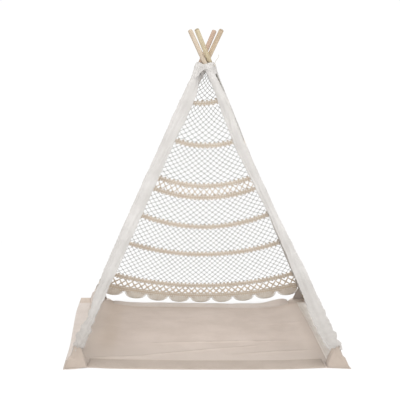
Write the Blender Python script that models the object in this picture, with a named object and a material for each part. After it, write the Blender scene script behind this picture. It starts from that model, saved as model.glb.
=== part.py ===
# Kids teepee: four crossed wooden poles tied at the crown, a cotton cover of lace walls,
# pole sleeves and a gathered collar, and a canvas floor mat with a pocket at each corner.
# Metres, +Z up, the open front faces -Y, the crown stands over the origin.
import bmesh
import bpy
import numpy as np
from mathutils import Vector

# Driving sizes
MAT_SIDE = 1.200
MAT_THICK = 0.003
HEM_THICK = 0.002
HEM_WIDTHS = {"front": 0.115, "right": 0.045, "back": 0.055, "left": 0.045}
POLE_DIAMETER = 0.022
POLE_LENGTH = 1.668
POLE_END_CHAMFER = 0.003
FOOT_INSET = 0.025
CROSS_HEIGHT = 1.288
CROSS_OFFSET = 0.018
GAP = 0.0003

# Cover sizes
CLOTH_THICK = 0.0015
SLEEVE_FIT = 0.0004
LACE_THICK = 0.002
BAND_THICK = 0.004
COLLAR_TOP_DROP = 0.026
COLLAR_BOTTOM_DROP = 0.129
COLLAR_FIT = 0.0012
COLLAR_FOLD = 0.0035
COLLAR_PARTING = 0.075
WALL_TOP_REACH = 0.157
HEM_REACH = 1.352
SCALLOP_DEPTH = 0.034
BACK_WALL_SAG = 0.060
SIDE_WALL_SAG = 0.030
SIDE_DROP = 0.042
SIDE_DROP_START = 0.900
FRONT_SLEEVE_WIDTH = 0.054
SLEEVE_TOP_REACH = 0.164
FRONT_SLEEVE_FOOT_GAP = 0.062
BACK_SLEEVE_FOOT_GAP = 0.046
SIDE_WALL_FRONT_MARGIN = 0.0185
BACK_WALL_MARGIN = 0.0106
SIDE_WALL_BACK_MARGIN = 0.0098

# Pocket sizes
POCKET_THICK = 0.002
POCKET_LEG = 0.095
POCKET_DEPTH = 0.072
POCKET_TOP_REACH = 0.080
POCKET_FIT = 0.0036
POCKET_TIP_INSET = 0.006
POCKET_SIDE_INSET = 0.016

# Cord sizes
CORD_DIAMETER = 0.0035
CORD_TURN_GAP = 0.0008
KNOT_DIAMETER = 0.013
KNOT_GAP = 0.001
TAIL_DIAMETER = 0.0028
TAIL_STEP = 0.006

# Counts
POLE_SIDES = 20
SLEEVE_SIDES = 20
LACE_STEPS = 2 * 9
CORD_LOOPS = 2
POINTS_PER_LOOP = 24
KNOT_SIDES = 12
WINDING_ROUNDNESS = 1
TAIL_ROUNDNESS = 2
ARC_POINTS = 4
SIDE_POINTS = 5

POLE_RADIUS = POLE_DIAMETER / 2
SLEEVE_BORE_RADIUS = POLE_RADIUS + SLEEVE_FIT
SLEEVE_RADIUS = SLEEVE_BORE_RADIUS + CLOTH_THICK
FOOT_REACH = MAT_SIDE / 2 - FOOT_INSET
SCALLOP_REACH = HEM_REACH + SCALLOP_DEPTH

# Corner signs (x, y) in plan, and the corner that each wall starts and ends at, seen from outside
CORNERS = {"front_left": (-1, -1), "front_right": (1, -1), "back_left": (-1, 1), "back_right": (1, 1)}
WALLS = {
    "back": ("back_right", "back_left"),
    "left": ("back_left", "front_left"),
    "right": ("front_right", "back_right"),
}

# Centre of each lace band along the slope from the crown, and its half width
BAND_REACHES = [0.232, 0.460, 0.684, 0.752, 0.922, 1.094, 1.292]
BAND_HALF_WIDTH = 0.014
# Whole diamond rows in the net above each band, none where the lace is close
NET_ROW_COUNTS = [0, 2, 2, 0, 1, 1, 1]
# How much of its cell a diamond leaves open, and places across a scallop's arc
OPEN_SHARE = 0.80
SCALLOP_SHARES = [0.12, 0.50, 0.88]

# The mat's outline as shares of half its side, anticlockwise from the front left tip. Each edge
# starts with two points round the corner before it, and its hem starts at the third.
MAT_EDGE_SHARES = {
    "front": [
        (-1.000, -1.000), (-0.920, -0.990), (-0.835, -0.960), (-0.640, -0.983), (-0.300, -1.000),
        (0.000, -1.008), (0.300, -1.008), (0.560, -1.000), (0.825, -0.975),
    ],
    "right": [(1.003, -0.998), (0.995, -0.910), (0.985, -0.825), (0.990, 0.000), (0.985, 0.825)],
    "back": [
        (1.000, 1.000), (0.845, 1.000), (0.780, 0.880), (0.660, 0.775), (0.430, 0.733),
        (0.000, 0.757), (-0.360, 0.775), (-0.600, 0.795), (-0.770, 0.880),
    ],
    "left": [
        (-0.845, 0.990), (-1.078, 1.004), (-1.074, 0.800), (-1.068, 0.500), (-1.040, 0.000),
        (-1.013, -0.467), (-1.005, -0.825),
    ],
}
# Places along a front sleeve and its width there, as shares of its length and of its full width
SLEEVE_LENGTH_SHARES = [0.00, 0.06, 0.20, 0.36, 0.52, 0.66, 0.80, 0.91, 0.96, 1.00]
WIDTH_SHARES = {
    "front_left": [0.56, 0.86, 0.92, 0.96, 1.00, 1.00, 1.02, 0.86, 0.58, 0.50],
    "front_right": [0.56, 0.80, 0.84, 0.72, 0.70, 0.84, 0.98, 0.86, 0.58, 0.50],
}
# Levels down the collar, and round the knot from its bottom to its top
COLLAR_LEVEL_SHARES = [0.0, 0.25, 0.6, 1.0]
KNOT_LEVEL_SHARES = [-0.92, -0.6, 0.0, 0.6, 0.92]
# Where the winding starts as a share of a turn, seen from above, with 0 on the right
WINDING_START_SHARE = 0.92
# Angles of the pocket's mouth round its pole as shares of half a turn
POCKET_ARC_SHARES = [-0.55, -0.28, 0.0, 0.28, 0.55]
# Tie tail's route as shares of one step, from the knot outwards, up and over
TAIL_ROUTE_SHARES = [
    (0.0, 0.0, 0.0), (0.4, -0.1, 0.8), (0.9, -0.3, 1.6), (1.5, -0.5, 2.3), (2.2, -0.6, 3.0),
    (2.8, -0.7, 3.7), (3.4, -0.7, 4.5), (3.7, -0.6, 5.4), (3.5, -0.5, 6.2), (2.9, -0.4, 6.6),
]


def clear_scene():
    for obj in list(bpy.data.objects):
        bpy.data.objects.remove(obj, do_unlink=True)


def material(name, colour, roughness, metallic=0.0):
    made = bpy.data.materials.new(name)
    made.use_nodes = True
    shader = made.node_tree.nodes["Principled BSDF"]
    shader.inputs["Base Color"].default_value = (*colour, 1)
    shader.inputs["Roughness"].default_value = roughness
    shader.inputs["Metallic"].default_value = metallic
    return made


def add_mesh(name, points, faces, made, smooth=False):
    mesh = bpy.data.meshes.new(name)
    mesh.from_pydata([tuple(map(float, p)) for p in points], [], [tuple(map(int, f)) for f in faces])
    mesh.validate()
    work = bmesh.new()
    work.from_mesh(mesh)
    bmesh.ops.recalc_face_normals(work, faces=work.faces)
    work.to_mesh(mesh)
    work.free()
    for face in mesh.polygons:
        face.use_smooth = smooth
    mesh.materials.append(made)
    obj = bpy.data.objects.new(name, mesh)
    bpy.context.scene.collection.objects.link(obj)
    return obj


def unit(vector):
    return np.asarray(vector, float) / np.linalg.norm(vector)


# Each pole passes the crown's centre a little to one side, all turned the same way, so none meet.
def pole_line(corner):
    sign = np.array([*CORNERS[corner], 0.0])
    heading = unit(-sign)
    aside = np.array([-heading[1], heading[0], 0.0])
    crossing = np.array([0.0, 0.0, CROSS_HEIGHT]) + CROSS_OFFSET * aside
    lean_foot = sign * FOOT_REACH + np.array([0.0, 0.0, MAT_THICK + GAP])
    down = unit(lean_foot - crossing)
    # The foot's lowest rim point stands on the mat, so its centre is lifted by the tilt.
    lift = (POLE_RADIUS - POLE_END_CHAMFER) * np.sqrt(1 - down[2] ** 2)
    foot = lean_foot - down * lift / abs(down[2])
    return crossing, down, foot


def ring_loop(rings):
    """Faces of a closed loop of rings, each joined to the one after it and the last to the first."""
    count = len(rings[0])
    points = [point for ring in rings for point in ring]
    faces = []
    for i in range(len(rings)):
        here, after = i * count, (i + 1) % len(rings) * count
        for j in range(count):
            k = (j + 1) % count
            faces.append((here + j, here + k, after + k, after + j))
    return points, faces


def rings_to_solid(rings):
    """Points and faces that join rings of equal length, with a flat cap on each end."""
    points, faces = ring_loop(rings)
    count = len(rings[0])
    faces = faces[:-count]
    faces.append(tuple(range(count)))
    faces.append(tuple(range(len(points) - count, len(points))))
    return points, faces


def frame_across(direction, hint):
    across = unit(np.asarray(hint, float) - direction * np.dot(hint, direction))
    return across, np.cross(direction, across)


def ring_at(centre, across, other, radius, sides, second=None):
    second = radius if second is None else second
    angles = 2 * np.pi * np.arange(sides) / sides
    return [centre + across * radius * np.cos(t) + other * second * np.sin(t) for t in angles]


def make_pole(corner, made):
    crossing, down, foot = pole_line(corner)
    across, other = frame_across(down, (1, 0, 0))
    tip = foot - down * POLE_LENGTH
    inner = POLE_RADIUS - POLE_END_CHAMFER
    rings = [
        ring_at(tip, across, other, inner, POLE_SIDES),
        ring_at(tip + down * POLE_END_CHAMFER, across, other, POLE_RADIUS, POLE_SIDES),
        ring_at(foot - down * POLE_END_CHAMFER, across, other, POLE_RADIUS, POLE_SIDES),
        ring_at(foot, across, other, inner, POLE_SIDES),
    ]
    points, faces = rings_to_solid(rings)
    obj = add_mesh("pole_" + corner, points, faces, made, smooth=True)
    for face in obj.data.polygons:
        if len(face.vertices) == POLE_SIDES:
            face.use_smooth = False
    set_origin(obj, crossing)


def set_origin(obj, place):
    """Puts the object's origin at a point and leaves its surface where it is."""
    for vertex in obj.data.vertices:
        vertex.co -= Vector(place)
    obj.location = Vector(place)


# A sleeve is a cloth tube on its pole. A front one is flattened, wide across the doorway.
def make_sleeve(corner, made):
    crossing, down, foot = pole_line(corner)
    across, other = frame_across(down, (1, 0, 0))
    front = CORNERS[corner][1] < 0
    start = crossing + down * SLEEVE_TOP_REACH
    end = foot - down * (FRONT_SLEEVE_FOOT_GAP if front else BACK_SLEEVE_FOOT_GAP)
    widths = WIDTH_SHARES.get(corner, [0.0, 0.0])
    places = SLEEVE_LENGTH_SHARES if front else [0.0, 1.0]
    rings = []
    for along, share in zip(places, widths):
        width = max(FRONT_SLEEVE_WIDTH / 2 * share, SLEEVE_RADIUS)
        centre = start + (end - start) * along
        rings.append(ring_at(centre, across, other, width, SLEEVE_SIDES, SLEEVE_RADIUS))
    for centre in (end, start):
        rings.append(ring_at(centre, across, other, SLEEVE_BORE_RADIUS, SLEEVE_SIDES))
    obj = add_mesh("sleeve_" + corner, *ring_loop(rings), made, smooth=True)
    set_origin(obj, crossing)


# A wall is a sector of lace between two poles. A place on it is a reach, the distance from the
# crown along the slope, and a share across, from 0 at its first side edge to 1 at the other.
# Its lower rows drop towards both side edges, so the hem hangs flatter than the bands above.
def wall_place(wall):
    first, last = WALLS[wall]
    start_cross, start_down, _ = pole_line(first)
    end_cross, end_down, _ = pole_line(last)
    spread = np.arccos(np.dot(start_down, end_down))
    sag = BACK_WALL_SAG if wall == "back" else SIDE_WALL_SAG
    back_margin = BACK_WALL_MARGIN if wall == "back" else SIDE_WALL_BACK_MARGIN
    margins = [SIDE_WALL_FRONT_MARGIN if "front" in pole else back_margin for pole in (first, last)]

    def down_at(t):
        return (np.sin((1 - t) * spread) * start_down + np.sin(t * spread) * end_down) / np.sin(spread)

    def place(reach, share):
        lower = max(reach - SIDE_DROP_START, 0.0) / (SCALLOP_REACH - SIDE_DROP_START)
        reach += SIDE_DROP * lower * (2 * share - 1) ** 2
        width = reach * spread
        low, high = margins[0] / width, 1 - margins[1] / width
        t = low + (high - low) * share
        down = down_at(t)
        across = end_cross - start_cross + reach * (end_down - start_down)
        outward = unit(np.cross(down, across))
        hang = sag * 4 * t * (1 - t) * (reach / SCALLOP_REACH) ** 2
        middle = start_cross * (1 - t) + end_cross * t + down * reach
        return middle + outward * (SLEEVE_RADIUS - LACE_THICK / 2 - hang), outward

    return place


class Lace:
    """Points of a lace wall's middle surface and the faces between them, thickened at the end."""

    def __init__(self, place):
        self.place = place
        self.points = []
        self.outward = []
        self.half = []
        self.faces = []
        self.stops = [0, *range(1, LACE_STEPS, 2), LACE_STEPS]

    def point(self, reach, column, thick=LACE_THICK):
        spot, outward = self.place(reach, column / LACE_STEPS)
        self.points.append(spot)
        self.outward.append(outward)
        self.half.append(thick / 2)
        return len(self.points) - 1

    def row(self, reach, thick):
        return {column: self.point(reach, column, thick) for column in self.stops}

    def strip(self, upper, lower):
        for a, b in zip(self.stops[:-1], self.stops[1:]):
            self.faces.append((upper[a], upper[b], lower[b], lower[a]))

    def net(self, upper, lower, top, bottom, rows):
        """Diamonds between two rows: four bars round each opening, and half diamonds filled in."""
        steps = 2 * rows
        spots = {(column, 0): upper[column] for column in self.stops}
        spots.update({(column, steps): lower[column] for column in self.stops})
        cells = [(c, r) for r in range(steps + 1) for c in range(LACE_STEPS + 1)]
        for c, r in cells:
            if (c + r) % 2 and 0 < r < steps:
                spots[c, r] = self.point(top + (bottom - top) * r / steps, c)
        for c, r in cells:
            if (c + r) % 2:
                continue
            around = [(c, r - 1), (c + 1, r), (c, r + 1), (c - 1, r)]
            # At the net's four corners the cell's own place stands for its missing neighbours.
            inside = [spots.get(q, spots.get((c, r))) for q in around]
            inside = [spot for i, spot in enumerate(inside) if spot is not None and spot not in inside[:i]]
            if len(inside) < len(around):
                self.faces.append(tuple(inside))
                continue
            opening = []
            for column, step in around:
                open_column = c + (column - c) * OPEN_SHARE
                open_step = r + (step - r) * OPEN_SHARE
                opening.append(self.point(top + (bottom - top) * open_step / steps, open_column))
            for i, corner in enumerate(inside):
                after = (i + 1) % len(inside)
                self.faces.append((corner, inside[after], opening[after], opening[i]))

    def hem(self, above):
        """The hem's thick line, with a scallop under each column of diamonds."""
        line = [self.point(HEM_REACH, column, BAND_THICK) for column in range(LACE_STEPS + 1)]
        for a, b in zip(self.stops[:-1], self.stops[1:]):
            self.faces.append((above[a], above[b], *reversed(line[a : b + 1])))
        for start in range(0, LACE_STEPS, 2):
            arc = []
            for share in SCALLOP_SHARES:
                depth = SCALLOP_DEPTH * np.sqrt(1 - (2 * share - 1) ** 2)
                arc.append(self.point(HEM_REACH + depth, start + 2 * share))
            self.faces.append((*line[start : start + 3], *reversed(arc)))

    def solid(self):
        count = len(self.points)
        raised = np.array(self.outward) * np.array(self.half)[:, None]
        points = np.vstack([self.points + raised, self.points - raised])
        edges = {edge for face in self.faces for edge in zip(face, face[1:] + face[:1])}
        faces = [*self.faces, *(tuple(v + count for v in reversed(face)) for face in self.faces)]
        faces += [(b, a, a + count, b + count) for a, b in sorted(edges) if (b, a) not in edges]
        return points, faces


def make_wall(wall, made):
    lace = Lace(wall_place(wall))
    net_top = WALL_TOP_REACH
    above = lace.row(net_top, LACE_THICK)
    for reach, rows in zip(BAND_REACHES, NET_ROW_COUNTS):
        band_top, band_bottom = reach - BAND_HALF_WIDTH, reach + BAND_HALF_WIDTH
        upper, lower = lace.row(band_top, BAND_THICK), lace.row(band_bottom, BAND_THICK)
        if rows:
            lace.net(above, upper, net_top, band_top, rows)
        else:
            lace.strip(above, upper)
        lace.strip(upper, lower)
        above, net_top = lower, band_bottom
    lace.hem(above)
    points, faces = lace.solid()
    obj = add_mesh("lace_wall_" + wall, points, faces, made)
    set_origin(obj, (0, 0, CROSS_HEIGHT))


# Plan outline round the four poles at one height: an arc round each pole, straight between.
def ring_round_poles(height, offset, fold=0.0):
    centres = []
    for corner in ("front_left", "front_right", "back_right", "back_left"):
        crossing, down, _ = pole_line(corner)
        centres.append(crossing + down * (crossing[2] - height) / abs(down[2]))
    radius = POLE_RADIUS / abs(down[2]) + offset
    outline = []
    for i, centre in enumerate(centres):
        after = centres[(i + 1) % len(centres)]
        side = unit(after[:2] - centre[:2])
        out = np.array([side[1], -side[0]])
        # The side that arrives here has the same outward direction, a quarter turn earlier.
        for k in range(ARC_POINTS):
            turn = np.pi / 2 * (k / (ARC_POINTS - 1) - 1)
            spin = np.array([[np.cos(turn), -np.sin(turn)], [np.sin(turn), np.cos(turn)]])
            outline.append(np.array([*(centre[:2] + radius * spin @ out), height]))
        for k in range(1, SIDE_POINTS + 1):
            t = k / (SIDE_POINTS + 1)
            spot = centre[:2] * (1 - t) + after[:2] * t + out * (radius + fold * (k % 2))
            outline.append(np.array([*spot, height]))
    return outline


# The collar hangs lowest at the poles, and its hem rises between them in an upturned V.
def make_collar(made):
    places = [(k - ARC_POINTS + 1) / (SIDE_POINTS + 1) for k in range(ARC_POINTS + SIDE_POINTS)]
    partings = [COLLAR_PARTING * (1 - abs(2 * max(t, 0.0) - 1)) for t in places] * len(CORNERS)
    skins = []
    for offset in (COLLAR_FIT + CLOTH_THICK, COLLAR_FIT):
        for share in COLLAR_LEVEL_SHARES:
            ring = []
            for i, parting in enumerate(partings):
                drop = COLLAR_TOP_DROP * (1 - share) + (COLLAR_BOTTOM_DROP - parting) * share
                ring.append(ring_round_poles(CROSS_HEIGHT - drop, offset, COLLAR_FOLD * share)[i])
            skins.append(ring)
    levels = len(COLLAR_LEVEL_SHARES)
    # Down the outside, then back up the inside, and round again to close the top edge.
    loop = skins[:levels] + skins[:levels - 1:-1]
    add_mesh("top_collar", *ring_loop(loop), made)


def make_tube(name, route, diameter, roundness, made):
    data = bpy.data.curves.new(name, "CURVE")
    data.dimensions = "3D"
    data.bevel_depth = diameter / 2
    data.bevel_resolution = roundness
    data.use_fill_caps = True
    spline = data.splines.new("POLY")
    spline.points.add(len(route) - 1)
    for target, place in zip(spline.points, route):
        target.co = (*place, 1)
    data.materials.append(made)
    obj = bpy.data.objects.new(name, data)
    bpy.context.scene.collection.objects.link(obj)


# The tie cord winds down the gathered neck of the collar, one turn below the other.
def winding_route():
    top = CROSS_HEIGHT - COLLAR_TOP_DROP - CORD_DIAMETER
    offset = COLLAR_FIT + CLOTH_THICK + CORD_DIAMETER
    route = []
    for i in range(CORD_LOOPS * POINTS_PER_LOOP + 1):
        turn = i / POINTS_PER_LOOP
        height = top - (CORD_DIAMETER + CORD_TURN_GAP) * turn
        outline = np.array(ring_round_poles(height, offset))
        outline = np.vstack([outline, outline[:1]])
        angles = np.unwrap(np.arctan2(outline[:, 1], outline[:, 0]))
        lap = angles[0] + (2 * np.pi * (turn + WINDING_START_SHARE) - angles[0]) % (2 * np.pi)
        x = np.interp(lap, angles, outline[:, 0])
        y = np.interp(lap, angles, outline[:, 1])
        route.append(np.array([x, y, height]))
    return route


def least_gap(route, diameter):
    """Least gap between one turn of a winding and the next, from points over half a turn apart."""
    route = np.array(route)
    apart = POINTS_PER_LOOP // 2
    pairs = [np.linalg.norm(route[i + apart :] - route[i], axis=1).min() for i in range(len(route) - apart)]
    return min(pairs) - diameter


def make_tie(made):
    route = winding_route()
    print("winding's least gap to itself, mm:", round(float(least_gap(route, CORD_DIAMETER)) * 1000, 2))
    make_tube("tie_cord_winding", route, CORD_DIAMETER, WINDING_ROUNDNESS, made)
    out = unit(route[0] * [1, 1, 0])
    aside = np.array([-out[1], out[0], 0])
    up = np.array([0, 0, 1])
    radius = KNOT_DIAMETER / 2
    centre = route[0] + out * (radius + CORD_DIAMETER / 2 + KNOT_GAP)
    rings = [
        ring_at(centre + up * radius * share, out, aside, radius * np.sqrt(1 - share**2), KNOT_SIDES)
        for share in KNOT_LEVEL_SHARES
    ]
    add_mesh("tie_knot", *rings_to_solid(rings), made, smooth=True)
    start = centre + up * (radius * KNOT_LEVEL_SHARES[-1] + KNOT_GAP)
    tail = [start + (out * x + aside * y + up * z) * TAIL_STEP for x, y, z in TAIL_ROUTE_SHARES]
    make_tube("tie_cord_tail", tail, TAIL_DIAMETER, TAIL_ROUNDNESS, made)


def make_slab(name, outline, low, thick, made):
    rings = [[np.array([x, y, z]) for x, y in outline] for z in (low, low + thick)]
    add_mesh(name, *rings_to_solid(rings), made)


def make_mat(made, hem_made):
    edges = {side: np.array(shares) * MAT_SIDE / 2 for side, shares in MAT_EDGE_SHARES.items()}
    make_slab("floor_mat", np.vstack(list(edges.values())), 0.0, MAT_THICK, made)
    inward = {"front": (0, 1), "right": (-1, 0), "back": (0, -1), "left": (1, 0)}
    for side, edge in edges.items():
        outer = edge[2:]
        inner = outer + np.array(inward[side]) * HEM_WIDTHS[side]
        make_slab("hem_" + side, [*outer, *inner[::-1]], MAT_THICK + GAP, HEM_THICK, hem_made)


# A pocket is a canvas shell round the outside of a pole's foot: a mouth that wraps the pole, and
# a foot line that runs along both edges of the mat to its corner. It is open to the middle.
def make_pocket(corner, made):
    crossing, down, foot = pole_line(corner)
    sign = np.array([*CORNERS[corner], 0.0])
    sideways = unit(np.cross((0, 0, 1), sign))
    out = np.cross(sideways, down) * (1 if np.dot(np.cross(sideways, down), sign) > 0 else -1)
    mouth_centre = foot - down * POCKET_TOP_REACH
    radius = SLEEVE_RADIUS + POCKET_FIT
    mouth = []
    for share in POCKET_ARC_SHARES:
        turn = np.pi * share
        mouth.append(mouth_centre + radius * (out * np.cos(turn) + sideways * np.sin(turn)))
    low = MAT_THICK + GAP
    half = MAT_SIDE / 2
    tip = half - POCKET_TIP_INSET
    edge = half - POCKET_SIDE_INSET
    floor_line = [(half - POCKET_LEG, half - POCKET_DEPTH), (half - POCKET_LEG, edge), (tip, tip)]
    floor_line += [(edge, half - POCKET_LEG), (half - POCKET_DEPTH, half - POCKET_LEG)]
    base = [np.array([x, y, low]) * (sign + (0, 0, 1)) for x, y in floor_line]
    # The mouth's arc starts at the pole's side that is nearer to the floor line's start.
    if np.linalg.norm(mouth[0] - base[0]) > np.linalg.norm(mouth[-1] - base[0]):
        mouth = mouth[::-1]
    count = len(base)
    faces = []
    for i in range(count - 1):
        # Each side splits so that it bulges away from the pole.
        near, far = (i + 1, i) if i < count // 2 else (i, i + 1)
        faces.append((i, i + 1, count + far))
        faces.append((near, count + i + 1, count + i))
    obj = add_mesh("pocket_" + corner, base + mouth, faces, made)
    side = obj.data.polygons[count // 2]
    facing = 1 if np.dot(side.normal, np.array(side.center) - mouth_centre) > 0 else -1
    shell = obj.modifiers.new("canvas", "SOLIDIFY")
    shell.thickness = POCKET_THICK
    shell.offset = facing
    shell.use_even_offset = True


def main():
    clear_scene()
    wood = {
        "front_left": material("wood_peach", (0.51, 0.37, 0.28), 0.6),
        "front_right": material("wood_pale", (0.68, 0.60, 0.49), 0.6),
        "back_left": material("wood_rose", (0.61, 0.51, 0.39), 0.6),
        "back_right": material("wood_straw", (0.54, 0.47, 0.31), 0.6),
    }
    cotton = material("white_cotton", (0.72, 0.70, 0.67), 0.9)
    lace = material("cream_lace", (0.64, 0.57, 0.50), 0.9)
    canvas = material("mat_canvas", (0.58, 0.50, 0.45), 0.95)
    hem = material("mat_hem", (0.51, 0.44, 0.38), 0.95)
    cord = material("cotton_cord", (0.74, 0.70, 0.64), 0.85)
    for corner in CORNERS:
        make_pole(corner, wood[corner])
        make_sleeve(corner, cotton)
        make_pocket(corner, canvas)
    for wall in WALLS:
        make_wall(wall, lace)
    make_collar(cotton)
    make_tie(cord)
    make_mat(canvas, hem)


main()
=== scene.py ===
# %% [markdown]
# # A child's play teepee
# Four round poles cross near their tops and are tied there with a cord. A cotton cover hangs
# from them: a gathered collar at the crown, a sleeve down each pole, and crocheted lace in the
# three closed sides. A canvas mat with a pocket in each corner lies under it.
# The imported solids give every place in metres, so each piece is made where it belongs.

# %% Load the solids
import bmesh
import bpy
import numpy as np
from math import atan2, cos, pi, radians, sin
from mathutils import Matrix, Vector, noise


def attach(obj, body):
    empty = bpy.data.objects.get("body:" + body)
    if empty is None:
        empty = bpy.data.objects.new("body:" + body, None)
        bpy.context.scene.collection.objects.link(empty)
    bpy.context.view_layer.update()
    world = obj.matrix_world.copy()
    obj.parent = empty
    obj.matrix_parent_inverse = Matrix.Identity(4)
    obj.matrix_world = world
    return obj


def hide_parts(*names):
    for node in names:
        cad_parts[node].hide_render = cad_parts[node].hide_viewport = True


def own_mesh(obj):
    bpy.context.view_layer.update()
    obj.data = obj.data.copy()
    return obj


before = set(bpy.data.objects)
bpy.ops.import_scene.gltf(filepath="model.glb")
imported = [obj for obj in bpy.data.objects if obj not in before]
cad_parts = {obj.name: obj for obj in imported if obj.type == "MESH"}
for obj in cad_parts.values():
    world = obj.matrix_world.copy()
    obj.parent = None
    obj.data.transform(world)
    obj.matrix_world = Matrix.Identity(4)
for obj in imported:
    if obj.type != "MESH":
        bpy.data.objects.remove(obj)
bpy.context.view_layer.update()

# %% [markdown]
# ## Sizes of the real piece
# These are the same named sizes that the solids were made from. Keeping them together at the
# top means that a pole, its sleeve and the lace beside it can never drift apart.

# %% Sizes
MAT_SIDE = 1.200
MAT_THICK = 0.003
POLE_RADIUS = 0.011
POLE_LENGTH = 1.668
POLE_END_CHAMFER = 0.003
FOOT_REACH = 0.575
CROSS_HEIGHT = 1.288
CROSS_OFFSET = 0.018
GAP = 0.0003
SLEEVE_RADIUS = 0.0129
CORNERS = {"front_left": (-1, -1), "front_right": (1, -1), "back_left": (-1, 1), "back_right": (1, 1)}
WALLS = {
    "back": ("back_right", "back_left"),
    "left": ("back_left", "front_left"),
    "right": ("front_right", "back_right"),
}


# %% Where the poles lie
def unit(vector):
    return np.asarray(vector, float) / np.linalg.norm(vector)


def pole_line(corner):
    """A pole's crossing point, its direction downwards and its foot."""
    sign = np.array([*CORNERS[corner], 0.0])
    heading = unit(-sign)
    aside = np.array([-heading[1], heading[0], 0.0])
    crossing = np.array([0.0, 0.0, CROSS_HEIGHT]) + CROSS_OFFSET * aside
    lean_foot = sign * FOOT_REACH + np.array([0.0, 0.0, MAT_THICK + GAP])
    down = unit(lean_foot - crossing)
    lift = (POLE_RADIUS - POLE_END_CHAMFER) * np.sqrt(1 - down[2] ** 2)
    return crossing, down, lean_foot - down * lift / abs(down[2])


def frame_across(direction, hint):
    """Two directions across the given one, the first as near to the hint as it can be."""
    across = unit(np.asarray(hint, float) - direction * np.dot(hint, direction))
    return across, np.cross(direction, across)


print("pole leans", round(float(np.degrees(np.arccos(-pole_line("front_left")[1][2]))), 2), "degrees")

# %% [markdown]
# ## How the lace hangs
# A place on a lace wall is a reach down from the crown and a share of the way across. Margins
# keep the lace clear of the sleeves. The cloth sags towards the inside. Near the hem its sides
# drop and its middle lifts, so that the floor shows under the scallops.

# %% Where the lace lies
SIDE_WALL_FRONT_MARGIN = 0.0185
SIDE_WALL_BACK_MARGIN = 0.0098
BACK_WALL_MARGIN = 0.0106
SIDE_DROP = 0.050
SIDE_DROP_START = 0.900
MIDDLE_LIFT = 0.023
END_DROP = 0.018
END_DROP_START = 1.310
SCALLOP_REACH = 1.386
WALL_INSET = 0.001
WALL_SAG = {"back": 0.078, "left": 0.030, "right": 0.030}


def wall_place(wall):
    """Gives place(reach, share): a point on the lace, its outward and its sideways direction."""
    first, last = WALLS[wall]
    start_cross, start_down, _ = pole_line(first)
    end_cross, end_down, _ = pole_line(last)
    spread = np.arccos(np.dot(start_down, end_down))
    back_margin = BACK_WALL_MARGIN if wall == "back" else SIDE_WALL_BACK_MARGIN
    margins = [SIDE_WALL_FRONT_MARGIN if "front" in pole else back_margin for pole in (first, last)]

    def place(reach, share):
        lower = max(reach - SIDE_DROP_START, 0.0) / (SCALLOP_REACH - SIDE_DROP_START)
        off_middle = (2 * share - 1) ** 2
        ends = END_DROP * off_middle * max(reach - END_DROP_START, 0.0) / (SCALLOP_REACH - END_DROP_START)
        reach += lower * (SIDE_DROP * off_middle - MIDDLE_LIFT * (1 - off_middle)) + ends
        width = reach * spread
        low, high = margins[0] / width, 1 - margins[1] / width
        t = low + (high - low) * share
        down = (np.sin((1 - t) * spread) * start_down + np.sin(t * spread) * end_down) / np.sin(spread)
        across = unit(end_cross - start_cross + reach * (end_down - start_down))
        outward = unit(np.cross(down, across))
        hang = WALL_SAG[wall] * 4 * t * (1 - t) * (reach / SCALLOP_REACH) ** 2
        middle = start_cross * (1 - t) + end_cross * t + down * reach
        return middle + outward * (SLEEVE_RADIUS - WALL_INSET - hang), outward, across

    return place


hem_ends = [wall_place("back")(SCALLOP_REACH, share)[0] for share in (0, 1)]
print("back lace at its hem:", round(float(np.linalg.norm(hem_ends[1] - hem_ends[0])), 3), "m wide")

# %% [markdown]
# ## The camera
# The photograph was taken from the front, a little above the middle of the teepee. The camera
# was worked out from where the poles' feet, the crossing and the mat's corners fall in the
# 400 by 400 picture, so it comes first: every later shape is judged through it.

# %% Camera
PHOTO_PIXELS = 400
FOCAL_PIXELS = 918.2
CAMERA_PLACE = Vector((-0.1380, -4.2848, 1.2353))
pitch, yaw, roll = radians(8.071), radians(1.575), radians(0.426)
forward = Vector((sin(yaw) * cos(pitch), cos(yaw) * cos(pitch), -sin(pitch)))
level = Vector((cos(yaw), -sin(yaw), 0))
above = level.cross(forward)
right = level * cos(roll) + above * sin(roll)
up = above * cos(roll) - level * sin(roll)
camera_data = bpy.data.cameras.new("camera")
camera_data.sensor_width = 36
camera_data.lens = camera_data.sensor_width * FOCAL_PIXELS / PHOTO_PIXELS
camera = bpy.data.objects.new("camera", camera_data)
camera.matrix_world = Matrix.Translation(CAMERA_PLACE) @ Matrix((right, up, -forward)).transposed().to_4x4()
bpy.context.scene.collection.objects.link(camera)
bpy.context.scene.camera = camera
print("lens", round(camera_data.lens, 2), "mm")

# %% [markdown]
# ## Writing materials as sums
# A material's pattern is a chain of nodes. `Number` wraps one socket, so that `noise * 0.3 + 1`
# adds the Math nodes by itself. `Finish` holds one material and adds any other node.


# %% Node helpers
def add_node(tree, kind, settings, sockets):
    """Adds a node: its settings first, then the values or links of its sockets."""
    node = tree.nodes.new(kind)
    for name, value in settings.items():
        setattr(node, name, value)
    for key, value in sockets.items():
        source = getattr(value, "socket", value)
        if isinstance(source, bpy.types.NodeSocket):
            tree.links.new(source, node.inputs[key])
        else:
            node.inputs[key].default_value = source
    return node


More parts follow.
